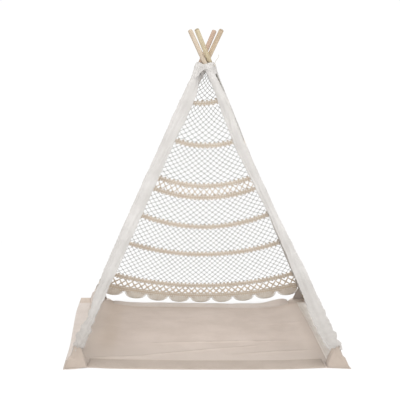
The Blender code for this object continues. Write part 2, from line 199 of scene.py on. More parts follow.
class Number:
    """A number that changes over a surface."""

    def __init__(self, tree, socket):
        self.tree = tree
        self.socket = socket

    def maths(self, operation, first, second=0.0, third=0.0):
        sockets = {0: first, 1: second, 2: third}
        node = add_node(self.tree, "ShaderNodeMath", {"operation": operation}, sockets)
        return Number(self.tree, node.outputs[0])

    def __add__(self, other):
        return self.maths("ADD", self, other)

    def __sub__(self, other):
        return self.maths("SUBTRACT", self, other)

    def __mul__(self, other):
        return self.maths("MULTIPLY", self, other)

    def __rsub__(self, other):
        return self.maths("SUBTRACT", other, self)

    __radd__ = __add__
    __rmul__ = __mul__

    def sine(self):
        return self.maths("SINE", self)

    def size(self):
        return self.maths("ABSOLUTE", self)

    def between(self, low, high):
        """0 at low, 1 at high and smooth between, also where low is the larger of the two."""
        settings = {"interpolation_type": "SMOOTHSTEP"}
        sockets = {"Value": self, "From Min": low, "From Max": high}
        node = add_node(self.tree, "ShaderNodeMapRange", settings, sockets)
        return Number(self.tree, node.outputs["Result"])


def linear(red, green, blue):
    """A colour read off a screen, from 0 to 255, as the light it stands for."""
    shares = [value / 255 for value in (red, green, blue)]
    return (*[s / 12.92 if s <= 0.04045 else ((s + 0.055) / 1.055) ** 2.4 for s in shares], 1.0)


class Finish:
    """One material and its node tree."""

    def __init__(self, name, roughness, sheen=0.0):
        self.material = bpy.data.materials.new(name)
        self.material.use_nodes = True
        self.tree = self.material.node_tree
        self.shader = self.tree.nodes["Principled BSDF"]
        self.shader.inputs["Roughness"].default_value = roughness
        self.shader.inputs["Specular IOR Level"].default_value = 0.25
        self.shader.inputs["Sheen Weight"].default_value = sheen

    def node(self, kind, settings=None, sockets=None, output=0):
        made = add_node(self.tree, kind, settings or {}, sockets or {})
        return Number(self.tree, made.outputs[output])

    def place(self, attribute=None, stretch=(1, 1, 1)):
        """The surface's own coordinates in metres, or the object's."""
        if attribute:
            where = self.node("ShaderNodeAttribute", {"attribute_name": attribute}, output="Vector")
        else:
            where = self.node("ShaderNodeTexCoord", output="Object")
        return self.node("ShaderNodeMapping", sockets={"Vector": where, "Scale": stretch})

    def noise(self, where, scale, detail=3.0, roughness=0.55, distortion=0.0):
        sockets = {"Vector": where, "Scale": scale, "Detail": detail, "Roughness": roughness}
        return self.node("ShaderNodeTexNoise", sockets={**sockets, "Distortion": distortion}, output="Fac")

    def axes(self, where):
        made = add_node(self.tree, "ShaderNodeSeparateXYZ", {}, {"Vector": where})
        return [Number(self.tree, made.outputs[axis]) for axis in "XYZ"]

    def mix(self, factor, first, second):
        sockets = {0: factor, 6: first, 7: second}
        return self.node("ShaderNodeMix", {"data_type": "RGBA"}, sockets, output=2)

    def finish(self, colour, height, depth, roughness=None):
        """Links the colour, the relief in metres and a changing roughness to the shader."""
        self.tree.links.new(colour.socket, self.shader.inputs["Base Color"])
        bump = self.node("ShaderNodeBump", sockets={"Height": height, "Distance": depth, "Strength": 1.0})
        self.tree.links.new(bump.socket, self.shader.inputs["Normal"])
        if roughness:
            self.tree.links.new(roughness.socket, self.shader.inputs["Roughness"])
        return self.material


# %% [markdown]
# ## The materials
# Wood is streaked along the grain with darker end grain at the cut tips. Cotton and canvas
# carry a plain weave, fine on the cover and coarse on the mat, with slubs and a soft
# unevenness from washing. Cords and lace threads show the twist of their plies.


# %% Wood
TIP_STAIN_LENGTH = 0.004
TIP_EDGE = 0.0005
WOOD_RELIEF = 0.0003


def wood_finish(name, pale, dark, seed):
    """Round pole wood. own_place holds the distance from the axis and the length along it."""
    wood = Finish(name, 0.55)
    fibre = wood.noise(wood.place("own_place", (1, 1, 0.035)), 190.0 + seed, 4.0, 0.6)
    bands = wood.noise(wood.place("own_place", (1, 1, 0.10)), 34.0 + seed, 2.0, 0.5, 1.2)
    rings = (bands * 42.0).sine() * 0.5 + 0.5
    clouds = wood.noise(wood.place("own_place", (1, 1, 0.5)), 9.0 + seed, 2.0)
    _, _, along = wood.axes(wood.place("own_place"))
    cut = along.between(POLE_LENGTH - TIP_STAIN_LENGTH, POLE_LENGTH - TIP_EDGE)
    streak = fibre.between(0.32, 0.72) * 0.45 + rings * 0.22 + clouds.between(0.3, 0.7) * 0.33
    end_grain = tuple(channel * 0.55 for channel in dark[:3]) + (1.0,)
    colour = wood.mix(cut * 0.75, wood.mix(streak, pale, dark), end_grain)
    return wood.finish(colour, fibre * 0.7 + rings * 0.3, WOOD_RELIEF, fibre * 0.2 + 0.45)


WOOD_TONES = {
    "front_right": ("wood_pale", linear(198, 185, 168), linear(178, 161, 141)),
    "back_right": ("wood_straw", linear(202, 190, 163), linear(173, 158, 130)),
    "front_left": ("wood_peach", linear(190, 168, 150), linear(160, 135, 116)),
    "back_left": ("wood_rose", linear(200, 183, 160), linear(172, 152, 128)),
}
WOODS = {corner: wood_finish(*tones, seed) for seed, (corner, tones) in enumerate(WOOD_TONES.items(), 1)}
print("woods:", [wood.name for wood in WOODS.values()])

# %% [markdown]
# ## Painted light and shade on the cloth
# The cover has painted shade towards the floor, most at the front left foot. The mat has painted
# shade along its back and left borders and towards the front, painted light at its sides where the
# sleeves shade it, and painted shade on its fold lines, which also dent it. Each of these is a mask
# that mixes one more colour into the weave.

# %% Painted light and shade on the cover and on the mat
CREASE_LINES = [
    ((-0.42, -0.46), (0.30, -0.26), 0.0045),
    ((-0.30, -0.24), (0.42, -0.20), 0.0040),
    ((0.05, -0.42), (0.50, -0.34), 0.0040),
    ((-0.55, -0.45), (-0.25, -0.44), 0.0040),
]
CREASE_FADE = 0.10


def crease_mark(cloth, x, y, start, end, width):
    """1 on a line over the floor, 0 away from it and at its ends."""
    length = float(np.hypot(end[0] - start[0], end[1] - start[1]))
    run = ((end[0] - start[0]) / length, (end[1] - start[1]) / length)
    along = (x - start[0]) * run[0] + (y - start[1]) * run[1]
    aside = ((x - start[0]) * run[1] - (y - start[1]) * run[0]).size()
    ends = along.between(0.0, CREASE_FADE) * along.between(length, length - CREASE_FADE)
    return aside.between(width, width * 0.2) * ends


def cover_painted_shade(cloth, colour, height, clouds, creased):
    # Painted shade: greyer towards the floor, and more at the front left foot.
    x, _, rise = cloth.axes(cloth.place())
    colour = cloth.mix(rise.between(0.42, 0.20) * 0.55, colour, linear(184, 179, 174))
    left_foot_painted_shade = rise.between(0.30, 0.10) * x.between(-0.42, -0.52)
    return cloth.mix(left_foot_painted_shade * 0.5, colour, linear(172, 166, 160)), height


def mat_painted_light_shade_and_dents(cloth, colour, height, clouds, creased):
    x, y, _ = cloth.axes(cloth.place())
    waver = (clouds - 0.5) * 0.05 + (creased - 0.5) * 0.006
    crease_shades_and_dents = [crease_mark(cloth, x + waver, y + waver, *line) for line in CREASE_LINES]
    crease_shade_and_dent = sum(crease_shades_and_dents[1:], crease_shades_and_dents[0])
    # Painted shade along the back and left borders.
    border = (x + waver).between(-0.37, -0.43) + (y + waver).between(0.33, 0.42)
    colour = cloth.mix(border.between(0.0, 1.2) * 0.26, colour, linear(190, 172, 150))
    # Painted light at both sides, where the sleeves shade the mat.
    right_painted_light = x.between(0.34, 0.52) * 0.5
    left_painted_light = x.between(-0.44, -0.54) * x.between(-0.575, -0.55) * 0.65
    colour = cloth.mix(right_painted_light + left_painted_light, colour, linear(242, 231, 222))
    # Painted shade towards the front.
    colour = cloth.mix(y.between(-0.10, -0.50) * 0.70, colour, linear(190, 178, 168))
    # Painted shade along the fold lines, which also dent the relief below.
    colour = cloth.mix(crease_shade_and_dent.between(0.0, 1.0) * 0.45, colour, linear(160, 143, 130))
    return colour, height - crease_shade_and_dent * 1.6


print("fold marks on the mat:", len(CREASE_LINES))

# %% Woven cloth
COVER_YARN = 0.0011
MAT_YARN = 0.0019
WEAVE_RELIEF = 0.0006
CLOTH_SHEEN = 0.15


def woven_finish(name, pale, shade, yarn, slub, painted_light_and_shade=None):
    """A plain weave. cloth_place holds the metres across and along the cloth before it was sewn."""
    cloth = Finish(name, 0.92, CLOTH_SHEEN)
    across, along, _ = cloth.axes(cloth.place("cloth_place"))
    over = (across * (2 * pi / yarn)).sine()
    under = (along * (2 * pi / yarn)).sine()
    weave = over * under * 0.5 + 0.5
    warp = cloth.noise(cloth.place("cloth_place", (1, 0.05, 1)), 1.1 / yarn, 2.0)
    weft = cloth.noise(cloth.place("cloth_place", (0.05, 1, 1)), 1.1 / yarn, 2.0)
    slubs = warp.between(0.60, 0.75) + weft.between(0.60, 0.75)
    clouds = cloth.noise(cloth.place("cloth_place"), 7.0, 4.0, 0.6)
    creased = cloth.noise(cloth.place("cloth_place"), 60.0, 3.0, 0.6)
    tone = clouds.between(0.3, 0.7) * 0.45 + weave * 0.2 + slubs * slub + creased * 0.2
    colour = cloth.mix(tone, pale, shade)
    height = weave * 0.5 + slubs * 0.35 + creased * 1.2
    # Painted light and shade from the masks below are mixed into the weave here.
    if painted_light_and_shade:
        colour, height = painted_light_and_shade(cloth, colour, height, clouds, creased)
    return cloth.finish(colour, height, WEAVE_RELIEF)


COTTON = woven_finish(
    "white_cotton", linear(214, 211, 208), linear(181, 177, 173), COVER_YARN, 0.15, cover_painted_shade,
)
CANVAS = woven_finish("mat_canvas", linear(217, 203, 193), linear(195, 180, 168), MAT_YARN, 0.35, mat_painted_light_shade_and_dents)
MAT_HEM = woven_finish("mat_hem", linear(184, 171, 160), linear(163, 149, 137), MAT_YARN, 0.35)
LIP = woven_finish("mat_lip", linear(216, 206, 199), linear(196, 185, 176), MAT_YARN, 0.30)
# A brighter copy of the lip cloth: painted light on the right hem, which lies in the front right sleeve's
# shadow.
LIP_PAINTED_LIGHT = woven_finish("mat_lip_painted_light", linear(246, 240, 234), linear(230, 222, 214), MAT_YARN, 0.30)
print("cloths:", [cloth.name for cloth in (COTTON, CANVAS, MAT_HEM, LIP, LIP_PAINTED_LIGHT)])


# %% Threads and cords
def thread_finish(name, pale, shade, ply, depth):
    """Twisted thread: slanting plies on top of the object's own coordinates."""
    thread = Finish(name, 0.88, 0.2)
    across, along, height = thread.axes(thread.place())
    twist = ((across + along + height * 1.7) * (2 * pi / ply)).sine() * 0.5 + 0.5
    fuzz = thread.noise(thread.place(), 900.0, 2.0)
    patches = thread.noise(thread.place(), 14.0, 3.0)
    tone = twist * 0.35 + patches.between(0.3, 0.7) * 0.4 + fuzz * 0.25
    return thread.finish(thread.mix(tone, pale, shade), twist + fuzz * 0.5, depth)


# The lace finishes are copies of one cream yarn in different tones: the web keeps the plain tone, the net's
# thread and the edging are darker for painted shade, and the stitches are paler for a painted highlight.
LACE_THREAD_PAINTED_SHADE = thread_finish("lace_thread_painted_shade", linear(140, 137, 128), linear(110, 107, 98), 0.0024, 0.0003)
LACE_PAINTED_HIGHLIGHT = thread_finish("cream_lace", linear(250, 247, 242), linear(238, 232, 223), 0.0030, 0.0004)
LACE_EDGE_PAINTED_SHADE = thread_finish("lace_edge_painted_shade", linear(206, 193, 174), linear(180, 165, 145), 0.0030, 0.0004)
LACE_WEB = thread_finish("cream_lace_web", linear(229, 216, 199), linear(209, 194, 176), 0.0030, 0.0004)
CORD = thread_finish("cotton_cord", linear(226, 221, 212), linear(198, 190, 178), 0.0022, 0.0003)
STITCH = thread_finish("seam_thread", linear(214, 205, 193), linear(186, 174, 160), 0.0010, 0.0002)
LACES = [LACE_THREAD_PAINTED_SHADE, LACE_EDGE_PAINTED_SHADE, LACE_PAINTED_HIGHLIGHT, LACE_WEB]
print("threads:", [thread.name for thread in (*LACES, CORD, STITCH)])

# %% [markdown]
# ## Making a mesh
# Every piece is a list of points and faces in the teepee's own frame. `make_piece` turns them
# into an object at the origin, shades it smooth and keeps the cloth's own coordinates, which
# the weave reads. `path_frames` carries two directions along a path without twisting, and
# `closed_tube` puts faces round rings that are set on it. `dress` says which solid a piece
# stands for and which body carries it.


# %% Mesh helpers
def make_piece(name, points, faces, material, places=None, attribute="cloth_place"):
    """An object at the origin, with its faces turned outwards."""
    mesh = bpy.data.meshes.new(name)
    mesh.from_pydata([tuple(map(float, p)) for p in points], [], [tuple(map(int, f)) for f in faces])
    if places is not None:
        layer = mesh.attributes.new(attribute, "FLOAT_VECTOR", "POINT")
        layer.data.foreach_set("vector", np.asarray(places, float).ravel())
    mesh.validate()
    work = bmesh.new()
    work.from_mesh(mesh)
    bmesh.ops.recalc_face_normals(work, faces=work.faces)
    work.to_mesh(mesh)
    work.free()
    mesh.shade_smooth()
    mesh.materials.append(material)
    obj = bpy.data.objects.new(name, mesh)
    bpy.context.scene.collection.objects.link(obj)
    return obj


def dress(piece, node, body):
    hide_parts(node)
    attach(piece, body)


def path_frames(path):
    """Two directions across a path at each of its points, carried along without twisting."""
    path = np.asarray(path, float)
    heading = np.gradient(path, axis=0)
    heading /= np.linalg.norm(heading, axis=1)[:, None]
    across = frame_across(heading[0], (0.31, 0.17, 0.9))[0]
    result = []
    for direction in heading:
        across = unit(across - direction * np.dot(across, direction))
        result.append((across, np.cross(direction, across)))
    return result


def ring_faces(rings, count):
    """Faces between rings of count points each."""
    faces = []
    for i in range(rings - 1):
        for j in range(count):
            k = (j + 1) % count
            faces.append((i * count + j, i * count + k, (i + 1) * count + k, (i + 1) * count + j))
    return faces


def grid_faces(rows, columns):
    """Faces of a sheet of rows by columns of points."""
    faces = []
    for i in range(rows - 1):
        for j in range(columns - 1):
            a = i * columns + j
            faces.append((a, a + 1, a + columns + 1, a + columns))
    return faces


def closed_tube(rings):
    """Faces round rings of equal length, with a fan at both ends."""
    count = len(rings[0])
    points = [spot for ring in rings for spot in ring]
    faces = ring_faces(len(rings), count)
    for start in (0, len(points) - count):
        points.append(np.mean(points[start : start + count], axis=0))
        hub = len(points) - 1
        faces += [(start + j, start + (j + 1) % count, hub) for j in range(count)]
    return points, faces


def smooth_path(stops, count):
    """A smooth curve through the stops, as count points evenly apart."""
    stops = np.asarray(stops, float)
    padded = np.vstack([2 * stops[0] - stops[1], stops, 2 * stops[-1] - stops[-2]])
    fine = []
    for i in range(1, len(padded) - 2):
        before, here, after, beyond = padded[i - 1 : i + 3]
        for t in np.linspace(0, 1, 12, endpoint=False):
            slope = (after - before) * t + (2 * before - 5 * here + 4 * after - beyond) * t**2
            fine.append(here + (slope + (3 * here - before - 3 * after + beyond) * t**3) / 2)
    fine = np.array([*fine, stops[-1]])
    gone = np.concatenate([[0], np.cumsum(np.linalg.norm(np.diff(fine, axis=0), axis=1))])
    wanted = np.linspace(0, gone[-1], count)
    return np.column_stack([np.interp(wanted, gone, fine[:, axis]) for axis in range(fine.shape[1])])


def path_length(path):
    return float(np.linalg.norm(np.diff(np.asarray(path, float), axis=0), axis=1).sum())


def wobble(x, y, z=0.0):
    """Smooth noise from -1 to 1, the same on every run."""
    return noise.noise(Vector((x, y, z)))


# %% [markdown]
# ## Tie cord, knot and tail
# A cotton cord is wound twice round the neck of the cover, and the collar's cloth hides most
# of it. Its knot sits at the right, and the free end stands up beside the poles. The cord is
# three plies twisted together, so its ring is a rounded three-leaf shape that turns as it
# moves along.

# %% Cord sizes
COLLAR_TOP_DROP = 0.026
COLLAR_FIT = 0.0012
CLOTH_THICK = 0.0015
CORD_DIAMETER = 0.0035
CORD_TURN_GAP = 0.0008
CORD_LOOPS = 2
POINTS_PER_LOOP = 24
WINDING_START_SHARE = 0.92
WINDING_PITCH = 0.011
KNOT_DIAMETER = 0.013
KNOT_GAP = 0.001
KNOT_STRAND = 0.0036
TAIL_DIAMETER = 0.0028
TAIL_PITCH = 0.008
TAIL_STEP = 0.006
TAIL_ROUTE_SHARES = [
    (0.0, 0.0, 0.0), (0.4, -0.1, 0.8), (0.9, -0.3, 1.6), (1.5, -0.5, 2.3), (2.2, -0.6, 3.0),
    (2.8, -0.7, 3.7), (3.4, -0.7, 4.5), (3.7, -0.6, 5.4), (3.5, -0.5, 6.2), (2.9, -0.4, 6.6),
]


# %% The neck's outline and the cord's routes
def ring_round_poles(height, offset, arc_points=4, side_points=5):
    """Plan outline round the four poles: an arc round each pole and straight between them."""
    centres = []
    for corner in ("front_left", "front_right", "back_right", "back_left"):
        crossing, down, _ = pole_line(corner)
        centres.append(crossing + down * (crossing[2] - height) / abs(down[2]))
    radius = POLE_RADIUS / abs(down[2]) + offset
    outline = []
    for i, centre in enumerate(centres):
        after = centres[(i + 1) % len(centres)]
        side = unit(after[:2] - centre[:2])
        out = np.array([side[1], -side[0]])
        for k in range(arc_points):
            turn = pi / 2 * (k / (arc_points - 1) - 1)
            spin = np.array([[cos(turn), -sin(turn)], [sin(turn), cos(turn)]])
            outline.append(np.array([*(centre[:2] + radius * spin @ out), height]))
        for k in range(1, side_points + 1):
            t = k / (side_points + 1)
            outline.append(np.array([*(centre[:2] * (1 - t) + after[:2] * t + out * radius), height]))
    return np.array(outline)


def winding_route():
    top = CROSS_HEIGHT - COLLAR_TOP_DROP - CORD_DIAMETER
    offset = COLLAR_FIT + CLOTH_THICK + CORD_DIAMETER
    route = []
    for i in range(CORD_LOOPS * POINTS_PER_LOOP + 1):
        turn = i / POINTS_PER_LOOP
        height = top - (CORD_DIAMETER + CORD_TURN_GAP) * turn
        outline = ring_round_poles(height, offset)
        outline = np.vstack([outline, outline[:1]])
        angles = np.unwrap(np.arctan2(outline[:, 1], outline[:, 0]))
        lap = angles[0] + (2 * pi * (turn + WINDING_START_SHARE) - angles[0]) % (2 * pi)
        route.append([np.interp(lap, angles, outline[:, 0]), np.interp(lap, angles, outline[:, 1]), height])
    return np.array(route)


def twisted_cord(name, path, diameter, pitch, sides=18):
    """A cord of three plies along a path, with rounded ends."""
    rings = []
    gone = 0.0
    total = path_length(path)
    for i, (spot, (across, other)) in enumerate(zip(path, path_frames(path))):
        if i:
            gone += float(np.linalg.norm(path[i] - path[i - 1]))
        end = min(gone, total - gone) / (diameter / 2)
        tip = np.sqrt(max(1 - (1 - min(end, 1)) ** 2, 0.05))
        ring = []
        for j in range(sides):
            angle = 2 * pi * j / sides
            leaf = 0.88 + 0.12 * cos(3 * (angle - 2 * pi * gone / pitch))
            radius = diameter / 2 * leaf * tip
            ring.append(spot + across * radius * cos(angle) + other * radius * sin(angle))
        rings.append(ring)
    return make_piece(name, *closed_tube(rings), CORD)


route = winding_route()
winding = twisted_cord("tie_winding", smooth_path(route, 420), CORD_DIAMETER, WINDING_PITCH)
cord_out = unit(route[0] * [1, 1, 0])
cord_aside = np.array([-cord_out[1], cord_out[0], 0])
knot_centre = route[0] + cord_out * (KNOT_DIAMETER / 2 + CORD_DIAMETER / 2 + KNOT_GAP)
tail_start = knot_centre + np.array([0, 0, KNOT_DIAMETER / 2 * 0.92 + KNOT_GAP])
tail_stops = [
    tail_start + (cord_out * x + cord_aside * y + np.array([0, 0, z])) * TAIL_STEP
    for x, y, z in TAIL_ROUTE_SHARES
]
tail_path = smooth_path(tail_stops, 60)
tail = twisted_cord("tie_tail", tail_path, TAIL_DIAMETER, TAIL_PITCH, 12)
print("winding", round(path_length(route), 3), "m, tail", round(path_length(tail_path), 4), "m")


# %% The knot
def overhand_knot(centre, out, aside, diameter, cord):
    """A small ball of cord: one closed strand that passes over itself, like an overhand knot."""
    up_way = np.array([0.0, 0.0, 1.0])
    strand = []
    for t in np.linspace(0, 2 * pi, 121)[:-1]:
        x = (sin(t) + 1.6 * sin(2 * t)) / 2.6
        y = (cos(t) - 1.6 * cos(2 * t)) / 2.6
        z = -sin(3 * t) * 0.5
        strand.append(centre + (aside * x + up_way * y + out * z) * (diameter - cord) / 2)
    strand.append(strand[0])
    strand = np.array(strand)
    rings = []
    for spot, (across, other) in zip(strand, path_frames(strand)):
        turns = [2 * pi * j / 12 for j in range(12)]
        rings.append([spot + (across * cos(a) + other * sin(a)) * cord / 2 for a in turns])
    return closed_tube(rings)


ball = overhand_knot(knot_centre, cord_out, cord_aside, KNOT_DIAMETER, KNOT_STRAND)
knot = make_piece("tie_ball", *ball, CORD)
for piece, node in ((winding, "tie_cord_winding"), (knot, "tie_knot"), (tail, "tie_cord_tail")):
    dress(piece, node, "crown")

# %% [markdown]
# ## Floor, background and light
# The photograph has a white ground and almost no shadow. The floor is a real pale surface, and
# where the camera looks at it directly some of its own light is mixed in, which leaves the
# shadow soft. The world is white to the camera and dimmer as a light. Seven large lamps light
# the teepee from all sides, most of all from the front and from above, so that the cloth is
# bright and its folds still show.


# %% Floor
FLOOR_REACH = 14.0
FLOOR_LEVEL = -0.0004
WHITE_GLOW = 1.02


def white_for_camera(tree, surface, output, strength):
    """Mixes a surface with plain white for rays that come from the camera or a mirror."""
    path = tree.nodes.new("ShaderNodeLightPath")
    seen = Number(tree, path.outputs["Is Camera Ray"]) + Number(tree, path.outputs["Is Glossy Ray"])
    seen = seen.maths("MINIMUM", 1.0, seen)
    glow = add_node(tree, "ShaderNodeEmission", {}, {"Color": (1, 1, 1, 1), "Strength": WHITE_GLOW})
    mixed = add_node(tree, "ShaderNodeMixShader", {}, {0: seen * strength, 1: surface, 2: glow.outputs[0]})
    tree.links.new(mixed.outputs[0], output)


floor_mesh = bpy.data.meshes.new("floor")
floor_corners = [(-1, -1), (1, -1), (1, 1), (-1, 1)]
floor_points = [(x * FLOOR_REACH, y * FLOOR_REACH, FLOOR_LEVEL) for x, y in floor_corners]
floor_mesh.from_pydata(floor_points, [], [(0, 1, 2, 3)])
floor = bpy.data.objects.new("floor", floor_mesh)
bpy.context.scene.collection.objects.link(floor)
ground = Finish("floor_white", 0.9)
ground.shader.inputs["Base Color"].default_value = (0.93, 0.93, 0.93, 1)
ground.shader.inputs["Specular IOR Level"].default_value = 0.0
ground_out = ground.tree.nodes["Material Output"].inputs["Surface"]
away = ground.node("ShaderNodeVectorMath", {"operation": "LENGTH"}, {0: ground.place()}, output="Value")
white_for_camera(ground.tree, ground.shader.outputs[0], ground_out, away.between(0.9, 2.6) * 0.36 + 0.64)
floor_mesh.materials.append(ground.material)
print("floor:", 2 * FLOOR_REACH, "m wide")

# %% World and lamps
WORLD_LIGHT = 0.58
# Name, place, aim, side in metres and power in watts
LAMPS = [
    ("key_lamp", (1.7, -5.6, 1.7), (0, 0.3, 0.4), 2.8, 34),
    ("fill_lamp", (-1.9, -5.6, 1.3), (0, 0.3, 0.4), 2.8, 32),
    ("low_lamp", (-0.1, -6.4, 1.3), (0, 0.4, 0.6), 1.8, 86),
    ("top_lamp", (0.0, -0.3, 4.3), (0, 0, 0), 3.8, 122),
    ("back_lamp", (0.3, 3.4, 3.2), (0, 0, 0.6), 2.4, 15),
    ("left_lamp", (-4.2, -1.0, 1.2), (0, 0, 0.6), 2.4, 16),
    ("right_lamp", (4.2, -1.0, 1.2), (0, 0, 0.6), 2.4, 22),
]
world = bpy.data.worlds.new("studio")
bpy.context.scene.world = world
world.use_nodes = True
sky = world.node_tree.nodes["Background"]
sky.inputs["Color"].default_value = (1, 1, 1, 1)
sky.inputs["Strength"].default_value = WORLD_LIGHT
world_out = world.node_tree.nodes["World Output"].inputs["Surface"]
white_for_camera(world.node_tree, sky.outputs[0], world_out, 1.0)
for name, place, aim, size, power in LAMPS:
    lamp_data = bpy.data.lights.new(name, "AREA")
    lamp_data.shape = "SQUARE"
    lamp_data.size = size
    lamp_data.energy = power
    lamp = bpy.data.objects.new(name, lamp_data)
    facing = (Vector(aim) - Vector(place)).to_track_quat("-Z", "Y")
    lamp.matrix_world = Matrix.Translation(place) @ facing.to_matrix().to_4x4()
    bpy.context.scene.collection.objects.link(lamp)
bpy.context.scene.view_settings.view_transform = "Standard"
print(len(LAMPS), "lamps and a white world")

# %% [markdown]
# ## The four poles
# Each pole is a turned dowel 22 mm across with a softly rounded cut. Its own coordinates, the
# place across and along the stick, are kept on the mesh, so the grain runs the right way on a
# leaning pole.


# %% Poles
POLE_SIDES = 40
POLE_SOFT_EDGE = 0.0045
POLE_PLAIN_START = 0.02


def make_dowel(corner):
    crossing, down, foot = pole_line(corner)
    across, other = frame_across(down, (1, 0, 0))
    soft = POLE_SOFT_EDGE
    stations = [(soft * (1 - cos(a)), POLE_RADIUS - soft * (1 - sin(a))) for a in np.linspace(0, pi / 2, 6)]
    plain = np.linspace(POLE_PLAIN_START, POLE_LENGTH - POLE_PLAIN_START, 60)
    levels = [(0.0, (POLE_RADIUS - soft) * share) for share in (0.4, 0.8)] + stations
    levels += [(height, POLE_RADIUS) for height in plain]
    levels += [(POLE_LENGTH - height, radius) for height, radius in reversed(stations)]
    levels += [(POLE_LENGTH, (POLE_RADIUS - soft) * share) for share in (0.8, 0.4)]
    turns = [2 * pi * j / POLE_SIDES for j in range(POLE_SIDES)]
    rings, places = [], []
    for height, radius in levels:
        rings.append([foot - down * height + (across * cos(a) + other * sin(a)) * radius for a in turns])
        places += [(radius * cos(a), radius * sin(a), height) for a in turns]
    places += [(0, 0, 0), (0, 0, POLE_LENGTH)]
    dowel = make_piece("dowel_" + corner, *closed_tube(rings), WOODS[corner], places, "own_place")
    dress(dowel, "pole_" + corner, "pole_" + corner)


for corner in CORNERS:
    make_dowel(corner)
print("poles:", len(CORNERS), "each", POLE_LENGTH, "m long")

# %% [markdown]
# ## Pole sleeves
# A sleeve is a cotton tube sewn along the cover's edge. On a front pole it is wide and flat
# and lies across the doorway, with long folds where the cloth is slack and short puckers at
# the seams. Near the foot the spare length is pushed together into crumples. The cloth is
# built ring by ring, and every ring stays clear of the wood.

# %% Sleeve sizes
SLEEVE_FOOT_GAP = {"front": 0.062, "back": 0.046}
SLEEVE_TOP_REACH = 0.045
SLEEVE_FIT = 0.0013
SLEEVE_CLOTH = 0.0009
BACK_SLEEVE_EASE = 0.005
SLEEVE_SIDES = 56
SLEEVE_STEPS = 280
CRUMPLE_START = 1.16
CRUMPLE_RUN = 0.22
FLAP_HALF_DEPTH = 0.0038
FLAP_START = 0.0165
# Reach along the pole, width and sideways shift of a front sleeve, in millimetres
FRONT_SLEEVES = {
    "front_left": [
        (45, 27, 0), (75, 28, 0), (100, 36, 4), (140, 50, 8), (180, 60, 12), (250, 63, 11), (444, 56, 5),
        (637, 57, 2), (816, 58, -1), (1000, 56, -3), (1100, 53, -4), (1217, 44, -2), (1290, 35, 1),
        (1315, 30, 2), (1345, 46, -1), (1400, 50, -2), (1440, 40, 0), (1458, 34, 0),
    ],
    "front_right": [
        (45, 27, 0), (75, 30, 1), (100, 34, 4), (140, 36, 5), (175, 38, 5), (250, 46, 1), (440, 49, -11),
        (633, 42, -8), (812, 34, -4), (930, 42, -3), (1100, 57, -3), (1215, 62, -6), (1308, 66, -8),
        (1380, 66, -6), (1440, 60, 0), (1458, 52, 2),
    ],
}


# %% Sleeves
def sleeve_outline(corner, reach, gone, low, seed):
    """Half the width of a sleeve and its sideways shift at one reach along the pole."""
    inner = POLE_RADIUS + SLEEVE_FIT
    if corner in FRONT_SLEEVES:
        table = np.array(FRONT_SLEEVES[corner]) / 1000
    else:
        table = np.array([(0, 2 * inner + BACK_SLEEVE_EASE, 0)])
    half = np.interp(reach, table[:, 0], table[:, 1]) / 2
    shift = np.interp(reach, table[:, 0], table[:, 2])
    half += 0.0024 * low * sin(gone * 2 * pi / 0.036 + 1.2 * wobble(gone * 20, seed))
    half += 0.0026 * wobble(gone * 16, seed + 5) + 0.0014 * wobble(gone * 45, seed + 8)
    if corner in FRONT_SLEEVES:
        shift += 0.0028 * low * sin(gone * 2 * pi / 0.052 + seed)
    return max(half, inner + 0.001 + abs(shift)), shift


def sleeve_fold(angle, gone, low, seed):
    """How far the cloth stands proud: long folds, fine folds and the crumples near the foot."""
    side, face = cos(angle), sin(angle)
    fold = 0.0034 * wobble(side * 2.4 + seed, gone * 2.6, face * 1.5)
    fold += 0.0034 * wobble(side * 4.0 + gone * 14, gone * 14.0 + seed, face * 3.0)
    fold += 0.0024 * sin(side * 9 + gone * 9 + seed) * abs(wobble(gone * 5, side * 2, seed))
    return fold + low * 0.0024 * sin(gone * 2 * pi / 0.030 + angle * 2 + 2 * wobble(gone * 9, side, seed))


def make_sleeve(corner, seed):
    crossing, down, foot = pole_line(corner)
    across, other = frame_across(down, (1, 0, 0))
    first = SLEEVE_TOP_REACH
    last = float(np.dot(foot - crossing, down)) - SLEEVE_FOOT_GAP["front" if "front" in corner else "back"]
    length = last - first
    inner = POLE_RADIUS + SLEEVE_FIT
    rings, places = [], []
    for i in range(SLEEVE_STEPS + 1):
        gone = length * i / SLEEVE_STEPS
        reach = first + gone
        low = min(max(0.0, (reach - CRUMPLE_START) / CRUMPLE_RUN), 1.0)
        half, shift = sleeve_outline(corner, reach, gone, low, seed)
        ring = []
        for j in range(SLEEVE_SIDES):
            angle = 2 * pi * j / SLEEVE_SIDES
            side, face = cos(angle), sin(angle)
            pucker = 0.0011 * abs(side) ** 3 * sin(gone * 2 * pi / 0.017 + 3 * wobble(gone * 12, seed + 9))
            wide = shift + np.sign(side) * abs(side) ** 0.85 * (half + pucker)
            flap = FLAP_HALF_DEPTH
            flap += (inner + 0.0012 - FLAP_HALF_DEPTH) * np.exp(-((wide / FLAP_START) ** 2))
            deep = np.sign(face) * abs(face) ** 0.7 * (flap + sleeve_fold(angle, gone, low, seed))
            clear = np.hypot(wide, deep)
            if clear < inner:
                wide, deep = wide * inner / clear, deep * inner / clear
            ring.append(crossing + down * reach + across * wide + other * deep)
            places.append((angle / (2 * pi) * 4 * half, gone, 0.0))
        rings.append(ring)
    points = [spot for ring in rings for spot in ring]
    faces = ring_faces(len(rings), SLEEVE_SIDES)
    sleeve = make_piece("cloth_sleeve_" + corner, points, faces, COTTON, places)
    shell = sleeve.modifiers.new("cloth", "SOLIDIFY")
    shell.thickness = SLEEVE_CLOTH
    shell.offset = -1
    dress(sleeve, "sleeve_" + corner, "pole_" + corner)


for seed, corner in enumerate(CORNERS):
    make_sleeve(corner, seed * 3.7)

# %% [markdown]
# ## The lace, as one rule
# A lace wall is a fan of net, crocheted in zones. Between two bands the thread makes diamonds,
# with a knot where two threads meet. This is a pattern that repeats hundreds of times, so it
# is drawn once as points and lines, and Geometry Nodes turn each line into thread and each
# marked point into a knot or a stitch.


